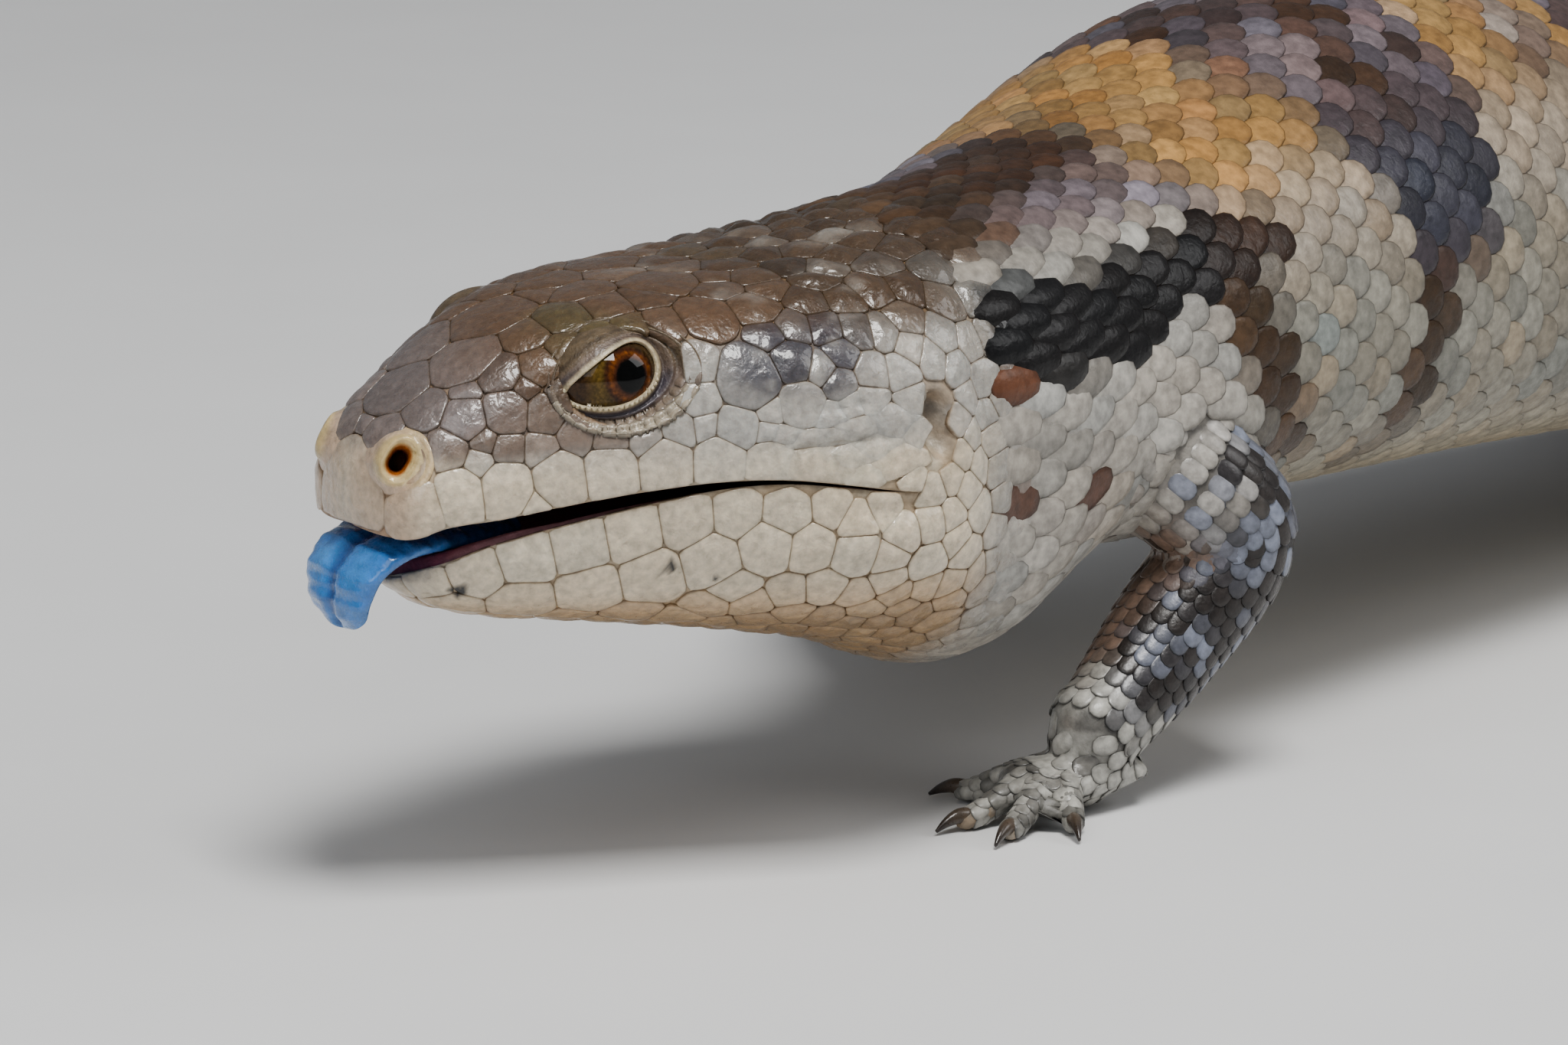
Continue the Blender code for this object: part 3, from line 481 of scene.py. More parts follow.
def tree_of(tables):
    """A search tree over tables of points, in millimetres."""
    points, faces, start = [], [], 0
    for table in tables:
        rows, columns = table.shape[:2]
        points += table.reshape(-1, 3).tolist()
        faces += grid_faces(rows, columns, start).tolist()
        start += rows * columns
    return BVHTree.FromPolygons(points, faces)


HEAD_TREE = tree_of([UPPER[UPPER_S < HEAD_REACH], LOWER[LOWER_S < HEAD_REACH]])
UPPER_TREE = tree_of([UPPER[UPPER_S < HEAD_REACH]])
LOWER_TREE = tree_of([LOWER[LOWER_S < HEAD_REACH]])


def project(tree, points, normals, high):
    """Points dropped along their normals from a height onto a surface, and the surface's normals there."""
    shape = points.shape
    points, normals = points.reshape(-1, 3), np.broadcast_to(normals, shape).reshape(-1, 3)
    found, facing = np.empty_like(points), np.empty_like(points)
    for k in range(len(points)):
        n = Vector(normals[k])
        start = Vector(points[k]) + n * high
        at, face, _, _ = tree.ray_cast(start, -n, high * 2.4)
        if at is None:
            at, face, _, _ = tree.find_nearest(Vector(points[k]))
        found[k] = at
        facing[k] = face if face.dot(n) > 0 else -face
    return found.reshape(shape), facing.reshape(shape)


class Sheet:
    """A tube-like surface. A place on it is s along it and c millimetres round it from its upper middle."""

    COLUMNS = 192  # steps round each ring

    def __init__(self, stations, rings):
        """Evenly spaced points round each ring of the given ones, and their normals."""
        self.stations = np.asarray(stations, float)
        even = np.linspace(0, 1, self.COLUMNS + 1)
        made, girth = [], []
        for ring in rings:
            run = run_length(ring)
            girth.append(run[-1])
            made.append(read_line(even * run[-1], run, ring))
        self.points, self.girth = np.array(made), np.array(girth)
        wrapped = np.concatenate([self.points[:, -2:-1], self.points, self.points[:, 1:2]], axis=1)
        across = wrapped[:, 2:] - wrapped[:, :-2]
        along = np.gradient(self.points, axis=0)
        normal = unit(np.cross(along, across))
        out = self.points - self.points.mean(axis=1, keepdims=True)
        self.normals = normal * np.sign((normal * out).sum(axis=-1).mean(axis=1))[:, None, None]

    def round_at(self, s):
        """The way once round the sheet at s."""
        return np.interp(s, self.stations, self.girth)

    def at(self, s, c):
        """Points and normals of the places s, c."""
        row = np.interp(s, self.stations, np.arange(len(self.stations)))
        share = c / self.round_at(s)
        share = share - np.floor(share + 0.5) + 0.5
        column = share * self.COLUMNS
        i = np.clip(row.astype(int), 0, len(self.stations) - 2)
        j = np.clip(column.astype(int), 0, self.COLUMNS - 1)
        u, v = (row - i)[..., None], (column - j)[..., None]
        found = []
        for table in (self.points, self.normals):
            near = table[i, j] * (1 - v) + table[i, j + 1] * v
            far = table[i + 1, j] * (1 - v) + table[i + 1, j + 1] * v
            found.append(near * (1 - u) + far * u)
        return found[0], unit(found[1])


def trunk_sheet():
    """The sheet of all behind the mouth's corner."""
    behind = UPPER_S >= MOUTH_CORNER
    upper, lower = UPPER[behind], LOWER[LOWER_S >= MOUTH_CORNER]
    # Each ring starts under the belly, climbs the right side and comes down the left side.
    rings = np.concatenate([lower[:, LOWER_SIDES::-1], upper[:, 1:], lower[:, -2:LOWER_SIDES - 1:-1]], axis=1)
    return Sheet(UPPER_S[behind], rings)


# Markings. They are formulas of the place on the body, which the skin and its scales share.
# Dark bands: s of each one's middle, half its width on the back, and on the sides.
DARK_BANDS = ((131, 15, 4.5), (186, 13, 5), (234, 12, 5), (276, 11, 4.5), (312, 9, 4.5), (340, 7.5, 4),
              (365, 7, 4), (388, 6.5, 4), (409, 5.5, 4), (428, 5, 3.5), (445, 4.5, 3), (461, 4, 3))
# Heights of the top and the foot of the black patch on the side of the neck.
PATCH_TOP = curve(((56, 56.6), (62, 55.2), (68, 54.6), (74, 55.2), (82, 56.4), (92, 57.4), (102, 56.5)))
PATCH_FOOT = curve(((56, 51.5), (60, 49.0), (64, 46.6), (70, 45.4), (76, 46.4), (84, 49.4), (92, 50.6),
                    (102, 52)))
# Rust spots of the neck: s and z of the middle, half length and half height.
RUST_SPOTS = ((60, 46.4, 0.9, 1.5), (60.5, 35.2, 1.3, 1.1), (63, 34, 1.0, 0.9), (68.5, 33.5, 1.5, 4.5))
# Heights of the crown's edge on the head.
TOP_EDGE = curve(((0, 44.5), (4, 46.0), (9, 47.8), (15, 49.6), (22, 51.6), (28, 53.6), (36, 54.0), (46, 53.6),
                  (60, 54)))


def body_tint(points, s, side, z, around):
    """Colour of the neck, trunk and tail. around is 0 along the back and 1 under the belly."""
    warp = noise(points, 9, 1) - 0.5
    fine = noise(points, 3.2, 2)
    back = 1 - smooth(around + 0.10 * warp, 0.30, 0.47)
    colour = mix(FLANK, BELLY, smooth(around, 0.62, 0.8))
    ground = mix(OCHRE, PURPLE_GREY, smooth(noise(points, 12, 3), 0.5, 0.8) * 0.7)
    ground = mix(ground, STONE, smooth(fine, 0.6, 0.95) * 0.5)
    ground = mix(ground, STONE, smooth(around, 0.20, 0.33) * 0.75)
    colour = mix(colour, ground, back)
    dark = np.zeros_like(s)
    for at, wide, narrow in DARK_BANDS:
        reach = narrow + (wide - narrow) * (1 - smooth(around, 0.24, 0.5))
        centre = at - 14 * smooth(around, 0.3, 0.8) + 7 * warp
        edge = np.abs(s - centre) - reach * (1 + 0.35 * warp)
        dark = np.maximum(dark, 1 - smooth(edge, -2.2, 1.2))
    dark *= 1 - smooth(around + 0.12 * warp, 0.62, 0.86)
    deep = mix(PURPLE_GREY, DARK_BROWN, smooth(fine, 0.3, 0.75))
    deep = mix(deep, LAVENDER, smooth(noise(points, 5, 4), 0.5, 0.8))
    deep = mix(deep, BLUE_BLACK, smooth(around, 0.2, 0.34) * (1 - smooth(around, 0.40, 0.46)))
    deep = mix(deep, TRAIL, smooth(around, 0.40, 0.48))
    colour = mix(colour, deep, dark * 0.97)
    # The neck: brown above, a long black patch along its side, and pale under it.
    outer = smooth(np.abs(side) + 3 * warp, 5, 9)
    neck = 1 - smooth(s + 3 * warp, 88 - 4 * outer, 98 - 5 * outer)
    crown = mix(DARK_BROWN, LAVENDER, outer * smooth(s, 62, 70))
    crown = mix(NECK_BROWN, crown, smooth(s + 4 * warp, 58, 70))
    crown = mix(crown, NECK_BROWN, smooth(fine, 0.55, 0.85) * 0.5)
    above = smooth(z + 2 * warp, 57.5, 60.0)
    colour = mix(colour, mix(STONE, crown, above), neck * smooth(z, 50, 54))
    colour = mix(colour, mix(STONE, PALE, fine), neck * (1 - smooth(z, 50, 54)))
    patch = smooth(z - PATCH_FOOT(s) + 2.0 * warp, -0.6, 0.6)
    patch = patch * smooth(PATCH_TOP(s) - z + 2.0 * warp, -0.6, 0.6)
    patch = patch * smooth(s, 56.5, 59) * (1 - smooth(s, 99, 103))
    inky = mix(BLACK, DARK_BROWN, smooth(s, 84, 98))
    trail = np.abs(s - 92 - (45 - z) * 0.45 - 3 * warp) - 4.2
    trail = (1 - smooth(trail, -1.5, 1.5)) * smooth(z, 27, 34) * (1 - smooth(z, 50, 53))
    colour = mix(colour, TRAIL, trail * 0.96)
    colour = mix(colour, inky, patch)
    for at, height, along, up in RUST_SPOTS:
        spot = ((s - at) / along) ** 2 + ((z - height) / up) ** 2 + 1.2 * warp
        colour = mix(colour, RUST, (1 - smooth(spot, 0.9, 1.5)) * 0.95)
    under = smooth(around, 0.82, 0.98) * (1 - smooth(s, 70, 90))
    return mix(colour, np.asarray(OCHRE) * 0.8, under * 0.6)


def head_tint(points, s, side, z, upper):
    """Colour of the head and jaws. upper is 1 over the mouth and 0 under it."""
    warp = noise(points, 6, 7) - 0.5
    fine = noise(points, 2.4, 8)
    side_colour = mix(CREAM, PALE, smooth(z, 41, 46) * smooth(s, 3, 10))
    side_colour = mix(side_colour, LOREAL_TAN, smooth(z + warp, 44.2, 45.8) * (1 - smooth(s, 17, 27)))
    crown = mix(SNOUT_GREY, BROWN, smooth(s + 4 * warp, 8, 16))
    crown = mix(crown, OLIVE, smooth(noise(points, 8, 9), 0.5, 0.75) * smooth(s, 14, 20))
    crown = mix(crown, NECK_BROWN, smooth(s, 34, 46))
    crown = mix(crown, PALE, smooth(fine, 0.62, 0.95) * smooth(s, 24, 34) * 0.5)
    edge = smooth(z + 2.0 * warp - TOP_EDGE(s), -1.2, 1.2)
    colour = mix(side_colour, crown, edge)
    smudge = ((s - 38.5) / 7.5) ** 2 + ((z - 52.4) / 2.9) ** 2 + 1.2 * warp
    ink = mix((0.050, 0.046, 0.060), PALE, smooth(noise(points, 1.5, 10), 0.5, 0.85) * 0.7)
    colour = mix(colour, ink, (1 - smooth(smudge, 0.5, 1.7)) * 0.9)
    nose = np.hypot(s - 0.8, (np.abs(side) - 5) * 0.6)
    colour = mix(colour, ROSTRAL_PINK, (1 - smooth(nose, 1.5, 4.0)) * (1 - smooth(z, 44, 46)))
    # Warmer and darker towards the jaw's underside: partly its own ochre, partly painted shade under the jaw.
    jaw = mix(CREAM, np.asarray(CREAM) * (0.90, 0.74, 0.58), smooth(31.5 - z + warp, 0, 3.5))
    jaw = mix(jaw, np.asarray(OCHRE) * 0.8, smooth(29.5 - z + warp, 0, 5) * 0.8)
    return mix(jaw, colour, upper)


def gape_middle(s):
    """Height half way between the lips."""
    return 0.5 * (upper_lip(s) + lower_lip(s))


def way_round(s, side, z):
    """How far round the body a place is: 0 along the back, 0.5 at the lips' level and 1 under the belly."""
    middle = upper_lip(s)
    above = np.clip((z - middle) / np.maximum(top(s) - middle, 1), 0, 1)
    below = np.clip((middle - z) / np.maximum(middle - bottom(s), 1), 0, 1)
    across = np.abs(side) / np.maximum(half_width(s), 1)
    round_up, round_down = np.arctan2(across, above), np.arctan2(below, across)
    return np.where(z > middle, round_up, math.pi / 2 + round_down) / math.pi


def unwrapped(s, turn):
    """Places on the unwrap: s along it, and turn from 0 on the belly's right to 1 on its left."""
    return np.stack([0.01 + 0.97 * np.clip(s, 0, TAIL_TIP) / TAIL_TIP, 0.01 + 0.66 * turn], axis=1)


def head_roots(points):
    """The place of each scale of the head on the unwrap."""
    s, side, z = along_spine(points)
    return unwrapped(s, 0.5 + 0.5 * np.sign(side) * way_round(s, side, z))


def skin_tint(points):
    """Colour of any place on the head, trunk or tail, from its position alone."""
    s, side, z = along_spine(points)
    upper = np.where(s > MOUTH_CORNER, (z > upper_lip(s)) * 1.0, smooth(z - gape_middle(s), -0.1, 0.1))
    body = body_tint(points, s, side, z, way_round(s, side, z))
    return mix(head_tint(points, s, side, z, upper), body, smooth(s, 53, 59))


def foot_share(share, points):
    """1 on the feet and 0 up the limbs, with a ragged change over the wrist or ankle."""
    return smooth(share + 0.2 * (noise(points, 3, 15) - 0.5), 0.80, 1.0)


def limb_tint(points, outward, share):
    """Colour of a limb: dark with bluish flecks outside and behind, and smooth pinkish brown inside."""
    outer = mix(LEG_DARK, LEG_BLUE, smooth(noise(points, 3.4, 11), 0.52, 0.72) * 0.75)
    colour = mix(LEG_INNER, outer, smooth(outward + 0.5 * (noise(points, 6, 12) - 0.5), -0.25, 0.25))
    toes = mix(TOE_GREY, LEG_DARK, smooth(noise(points, 2.0, 13), 0.55, 0.8) * 0.6)
    return mix(colour, toes, foot_share(share, points))


def linked(name, data):
    """An object with the data, put in the scene."""
    obj = bpy.data.objects.new(name, data)
    bpy.context.collection.objects.link(obj)
    return obj


def new_object(name, points, faces, tints, look, uv=None):
    """A mesh object from points in millimetres and groups of like faces, with a colour at each point."""
    mesh = bpy.data.meshes.new(name)
    sizes = np.concatenate([np.full(len(group), group.shape[1], np.int32) for group in faces])
    corners = np.concatenate([group.reshape(-1) for group in faces])
    mesh.vertices.add(len(points))
    mesh.vertices.foreach_set("co", (np.asarray(points, np.float32) * MM).reshape(-1))
    mesh.loops.add(len(corners))
    mesh.loops.foreach_set("vertex_index", corners.astype(np.int32))
    mesh.polygons.add(len(sizes))
    mesh.polygons.foreach_set("loop_start", np.concatenate([[0], np.cumsum(sizes)[:-1]]).astype(np.int32))
    mesh.update(calc_edges=True)
    mesh.validate()
    set_tint(mesh, tints)
    if uv is not None:
        layer = mesh.uv_layers.new(name="OFBake")
        layer.data.foreach_set("uv", np.asarray(uv, np.float32)[corners].reshape(-1))
    mesh.materials.append(look)
    mesh.shade_smooth()
    obj = linked(name, mesh)
    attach(obj, "root")
    return obj


def lofted(name, table, tints, look):
    """A closed object over a table of points, with meeting points merged."""
    faces = grid_faces(*table.shape[:2])
    made = new_object(name, table.reshape(-1, 3), [faces], tints.reshape(-1, 3), look)
    bm = bmesh.new()
    bm.from_mesh(made.data)
    bmesh.ops.remove_doubles(bm, verts=bm.verts, dist=MERGE)
    bmesh.ops.recalc_face_normals(bm, faces=bm.faces)
    bm.to_mesh(made.data)
    bm.free()
    made.data.shade_smooth()
    return made


def set_tint(mesh, tints):
    """Keeps a colour at each point of a mesh, for the material to read."""
    layer = mesh.color_attributes.new("tint", "FLOAT_COLOR", "POINT")
    values = np.ones((len(mesh.vertices), 4), np.float32)
    values[:, :3] = np.clip(tints, 0, 1)
    layer.data.foreach_set("color", values.reshape(-1))


def fresh_material(name):
    """A material, its links and its shader, and a function that adds a node with the given inputs set."""
    made = bpy.data.materials.new(name)
    made.use_nodes = True
    tree = made.node_tree

    def add(kind, **inputs):
        """A new node."""
        node = tree.nodes.new("ShaderNode" + kind)
        set_inputs(node, **inputs)
        return node

    return made, add, tree.links, tree.nodes["Principled BSDF"]


def set_inputs(node, **inputs):
    """Sets a node's inputs, named with underscores for blanks."""
    for name, value in inputs.items():
        node.inputs[name.replace("_", " ")].default_value = value


def varied_tint(add, links, shader, speckle, dark, light, low, high):
    """Links the mesh's tint to the base colour, from dark to light as the speckle goes from low to high."""
    tint = add("VertexColor")
    tint.layer_name = "tint"
    shade = add("MapRange", From_Min=low, From_Max=high, To_Min=dark, To_Max=light)
    links.new(speckle.outputs["Fac"], shade.inputs["Value"])
    vary = add("VectorMath")
    vary.operation = "SCALE"
    links.new(tint.outputs["Color"], vary.inputs[0])
    links.new(shade.outputs["Result"], vary.inputs["Scale"])
    links.new(vary.outputs["Vector"], shader.inputs["Base Color"])


def noise_node(add, links, size, **inputs):
    """Noise over the object with features of the given size in millimetres."""
    made = add("TexNoise", Scale=1 / (size * MM), **inputs)
    links.new(add("TexCoord").outputs["Object"], made.inputs["Vector"])
    return made


def bump_node(add, links, height, strength, depth):
    """A bump from a noise node's height, with its depth in millimetres."""
    made = add("Bump", Strength=strength, Distance=depth * MM)
    links.new(height.outputs["Fac"], made.inputs["Height"])
    return made


def tinted_material(name, rough, bump, grain, fleck, coat, coat_rough=0.12, wrinkle=0.0, subsurface=0.0,
                    specular=0.5):
    """Colour from the mesh's tint, varied by noise of the grain's size in millimetres, with a fine bump."""
    made, add, links, shader = fresh_material(name)
    coarse, fine = noise_node(add, links, grain * 3, Detail=4), noise_node(add, links, grain, Detail=3)
    varied_tint(add, links, shader, coarse, 1 - 2 * fleck, 1 + fleck, 0.3, 0.7)
    gloss = add("MapRange", From_Min=0.3, From_Max=0.7, To_Min=rough[0], To_Max=rough[1])
    links.new(fine.outputs["Fac"], gloss.inputs["Value"])
    links.new(gloss.outputs["Result"], shader.inputs["Roughness"])
    raised = bump_node(add, links, fine, bump, 0.3)
    if wrinkle:
        folded = bump_node(add, links, noise_node(add, links, 1.3, Detail=2, Distortion=0.6), wrinkle, 0.35)
        links.new(folded.outputs["Normal"], raised.inputs["Normal"])
        links.new(folded.outputs["Normal"], shader.inputs["Coat Normal"])
    links.new(raised.outputs["Normal"], shader.inputs["Normal"])
    set_inputs(shader, Coat_Weight=coat, Coat_Roughness=coat_rough, Specular_IOR_Level=specular)
    if subsurface:
        set_inputs(shader, Subsurface_Weight=subsurface, Subsurface_Radius=(1.0, 0.5, 0.3),
                   Subsurface_Scale=1.2 * MM)
    return made


SKIN_MATERIAL = tinted_material("skin_material", rough=(0.42, 0.62), bump=0.3, grain=0.35, fleck=0.16,
                                coat=0.1)
SHIELD_MATERIAL = tinted_material("shield_material", rough=(0.26, 0.46), bump=0.25, grain=0.3, fleck=0.13,
                                  coat=0.6, coat_rough=0.08, subsurface=0.12, wrinkle=0.5)
SCALE_MATERIAL = tinted_material("scale_material", rough=(0.32, 0.5), bump=0.2, grain=0.4, fleck=0.16,
                                 coat=0.13, coat_rough=0.14, wrinkle=0.25, specular=0.35)
LID_MATERIAL = tinted_material("lid_material", rough=(0.36, 0.55), bump=0.4, grain=0.25, fleck=0.15,
                               coat=0.25, coat_rough=0.15, subsurface=0.1, wrinkle=0.5)
LIMB_MATERIAL = tinted_material("limb_scale_material", rough=(0.28, 0.48), bump=0.18, grain=0.3, fleck=0.16,
                                coat=0.25, coat_rough=0.18)


def closed_object(name, tables):
    """An object over tables of points whose edges meet."""
    bm = bmesh.new()
    for table in tables:
        rows, columns = table.shape[:2]
        verts = [bm.verts.new(p) for p in (table.reshape(-1, 3) * MM).tolist()]
        for a, b, c, d in grid_faces(rows, columns).tolist():
            bm.faces.new((verts[a], verts[b], verts[c], verts[d]))
    bmesh.ops.remove_doubles(bm, verts=bm.verts, dist=MERGE)
    bmesh.ops.dissolve_degenerate(bm, dist=MERGE / 2, edges=bm.edges)
    bmesh.ops.recalc_face_normals(bm, faces=bm.faces)
    mesh = bpy.data.meshes.new(name)
    bm.to_mesh(mesh)
    bm.free()
    return linked(name, mesh)


def mouth_tables(upper, lower):
    """The palate and the floor of the mouth, from lip to lip."""
    made = []
    share = np.linspace(0, 1, 41)
    jaws = ((upper, UPPER_S, palate_rise, 1, 0, SNOUT_ROUND),
            (lower, LOWER_S, mouth_dip, -1, JAW_TIP, CHIN_ROUND))
    for table, stations, rise, way, tip, length in jaws:
        inside = stations <= MOUTH_CORNER
        right, left = table[inside, 0], table[inside, -1]
        lift = [(way * float(rise(s)) if s < MOUTH_CORNER else 0) * rounding(s, tip, length)
                for s in stations[inside]]
        across = right[:, None] + (left - right)[:, None] * share[:, None]
        across[..., 2] += np.array(lift)[:, None] * (1 - np.abs(2 * share - 1) ** 2.6)
        if table is lower:  # gums beside the tongue, as high as the gape lets them be
            gape = np.clip(upper_lip(stations) - lower_lip(stations), 0, 2.5)[inside]
            gape = gape * (1 - smooth(stations[inside], MOUTH_CORNER - 9, MOUTH_CORNER - 2))
            from_edge = np.minimum(share, 1 - share) * np.linalg.norm(left - right, axis=1)[:, None]
            across[..., 2] += 0.62 * gape[:, None] * (from_edge / 2 * np.exp(1 - from_edge / 2)) ** 3
        made.append(across)
    return made


def tube_table(line, size, sides, flat=1.0):
    """Rings of a tube along a line, with its two ends closed to points."""
    line, size = np.asarray(line, float), np.asarray(size, float)
    along = unit(np.gradient(line, axis=0))
    first = np.cross(along[0], UP)
    across = [first if np.linalg.norm(first) > 0.05 else np.array([0, 1.0, 0])]
    for way in along:  # each ring's frame is carried on from the one before, so the tube doesn't twist
        across.append(unit(across[-1] - way * (way @ across[-1])))
    across = np.array(across[1:])
    up = np.cross(across, along)
    a = np.linspace(0, 2 * math.pi, sides + 1)[:, None, None]
    rings = line + size[:, None] * (np.cos(a) * across + np.sin(a) * flat * up)
    return rings.transpose(1, 0, 2)


def with_round_ends(line, size, count=5):
    """A line and its radii with rounded ends added."""
    out = np.append(np.sin(math.pi / 2 * np.arange(1, count) / count), 1)[:, None]
    shrink = np.sqrt(np.maximum(1 - out[:, 0] * out[:, 0], 1e-6))
    first = line[0] + unit(line[0] - line[1]) * size[0] * out
    last = line[-1] + unit(line[-1] - line[-2]) * size[-1] * out
    sizes = np.concatenate([size[0] * shrink[::-1], size, size[-1] * shrink])
    return np.concatenate([first[::-1], line, last]), sizes


def foot_lines(name):
    """A foot's centre lines: wrist, palm and the palm's half width, toes with their radii, and claws."""
    side, kind = name.split("_")
    inwards = -1 if side == "left" else 1
    aim = math.radians(FOOT_AIM[name])
    ahead, _ = level_ways(aim)
    length, half = PALM_LENGTH[kind], PALM_HALF_WIDTH[kind]
    ankle = np.array(LIMBS[name][-1][0]) + (*SNOUT, 0)
    heel = ankle * (1, 1, 0) - ahead * HEEL_BACK
    root = heel + UP * PALM_LIFT
    wrist = np.array([ankle + UP, (ankle + root + ahead * 3) / 2, root + ahead * 4])
    palm = np.array([root + ahead * (length * share) for share in PALM_SHARES])
    toes, claws = [], []
    far = np.linspace(TOE_ARCH[0][0], 1, 24)
    for toe_length, fan in zip(TOE_LENGTHS[kind], TOE_SPREAD[kind]):
        out, _ = level_ways(aim + inwards * math.radians(fan))
        start = heel + ahead * (length * 0.66) + out * (half * 0.5)
        line = start + out * (toe_length * far)[:, None] + UP * curve(TOE_ARCH)(far)[:, None]
        toes.append((line, np.interp(far, (0, 1), (TOE_RADIUS, TOE_TIP_RADIUS)) - TOE_COAT))
        claws.append(np.array([line[-1] + UP * 0.15 + out * reach + UP * rise for reach, rise in CLAW_BENDS]))
    return wrist, palm, half, toes, claws


def limb_object(name):
    """A limb with its foot as one smooth closed surface, flat where it stands."""
    line, size = limb_line(name)
    wrist, palm, half, toes, _ = foot_lines(name)
    pieces = [(line, size - LIMB_COAT, 40, 0.96),
              (wrist, LIMBS[name][-1][1] * np.array(WRIST_WIDTHS), 32, 0.94),
              (palm, half * np.array(PALM_WIDTHS) - PALM_COAT, 32, PALM_FLATNESS)]
    pieces += [(toe, radii, 20, 1.0) for toe, radii in toes]
    obj = closed_object(name, [tube_table(*with_round_ends(line, size), sides, flat)
                               for line, size, sides, flat in pieces])
    step = obj.modifiers.new("join", "REMESH")
    step.mode, step.voxel_size = "VOXEL", VOXEL * MM
    soften = obj.modifiers.new("soften", "SMOOTH")
    soften.factor, soften.iterations = 0.5, 5
    made = applied(obj)
    points = read_points(made)
    points[:, 2] = np.maximum(points[:, 2], SKIN_GAP)
    made.vertices.foreach_set("co", (points * MM).astype(np.float32).reshape(-1))
    return obj


def applied(obj):
    """Applies the object's modifiers and returns its new mesh."""
    graph = bpy.context.evaluated_depsgraph_get()
    made = bpy.data.meshes.new_from_object(obj.evaluated_get(graph))
    obj.modifiers.clear()
    obj.data = made
    return made


def read_points(mesh):
    """A mesh's points in millimetres."""
    points = np.empty(len(mesh.vertices) * 3, np.float32)
    mesh.vertices.foreach_get("co", points)
    return points.reshape(-1, 3).astype(float) / MM


def known_points(points):
    """A tree that finds the nearest of the points."""
    known = KDTree(len(points))
    for k, point in enumerate(np.asarray(points).tolist()):
        known.insert(point, k)
    known.balance()
    return known


def make_skin():
    """The trunk, head and jaws as one surface, with the limbs joined to it and softened where they meet."""
    upper, lower = openings(UPPER), LOWER
    skin = closed_object("skin", [upper, lower] + mouth_tables(upper, lower))
    limbs = [limb_object(name) for name in LIMBS]
    known = known_points(np.concatenate([read_points(obj.data) for obj in [skin] + limbs]))
    group = bpy.data.collections.new("limbs")
    bpy.context.scene.collection.children.link(group)
    for limb in limbs:
        bpy.context.collection.objects.unlink(limb)
        group.objects.link(limb)
    step = skin.modifiers.new("join", "BOOLEAN")
    step.operation, step.solver = "UNION", "MANIFOLD"
    step.operand_type, step.collection = "COLLECTION", group
    applied(skin)
    for limb in limbs:
        bpy.data.objects.remove(limb)
    bpy.data.collections.remove(group)
    soften_joins(skin, known)
    skin.data.materials.clear()
    skin.data.materials.append(SKIN_MATERIAL)
    skin.data.shade_smooth()
    set_tint(skin.data, skin_colours(read_points(skin.data)))
    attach(skin, "root")
    flesh = ["head", "lower_jaw", "neck", "chest", "belly", "hips", "tail_base", "tail_middle", "tail_tip"]
    for part in ("upper_arm", "forearm", "hand", "thigh", "shin", "foot"):
        flesh += [f"left_{part}", f"right_{part}"]
    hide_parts(*flesh)
    return skin


def soften_joins(skin, known):
    """Smooths the skin beside the lines along which the limbs were joined."""
    bm = bmesh.new()
    bm.from_mesh(skin.data)
    near = {v for v in bm.verts if known.find(v.co / MM)[2] > 0.003}  # points that the joining made
    for passes in (4, 5, 6):
        for _ in range(3):
            near |= {e.other_vert(v) for v in list(near) for e in v.link_edges}
        for _ in range(passes):
            bmesh.ops.smooth_vert(bm, verts=list(near), factor=0.5, use_axis_x=True, use_axis_y=True,
                                  use_axis_z=True)
    bm.to_mesh(skin.data)
    bm.free()


def limb_place(points):
    """Each point's gap to the nearest limb, its share along that, and how far out and back it faces."""
    best = np.full(len(points), 1e9)
    share, outward = np.zeros(len(points)), np.zeros(len(points))
    for name in LIMBS:
        line, size = limb_line(name, 41)
        gap = np.linalg.norm(points[:, None] - line, axis=2) - size
        k = gap.argmin(axis=1)
        value = gap[np.arange(len(points)), k]
        foot = np.linalg.norm(points[:, :2] - line[-1, :2], axis=1) < FOOT_REACH
        foot = foot & (points[:, 2] < FOOT_HEIGHT)
        value = np.where(foot, np.minimum(value, 0), value)
        off = unit(points - line[k])
        ahead, left = level_ways(math.radians(FOOT_AIM[name]))
        away = left if name.startswith("left") else -left
        facing = off @ away * 0.6 - off @ ahead * 0.75 + off[:, 2] * 0.25
        along = np.where(foot, ON_FOOT, k / 40)
        mine = value < best
        best = np.where(mine, value, best)
        share = np.where(mine, along, share)
        outward = np.where(mine, facing, outward)
    return best, share, outward


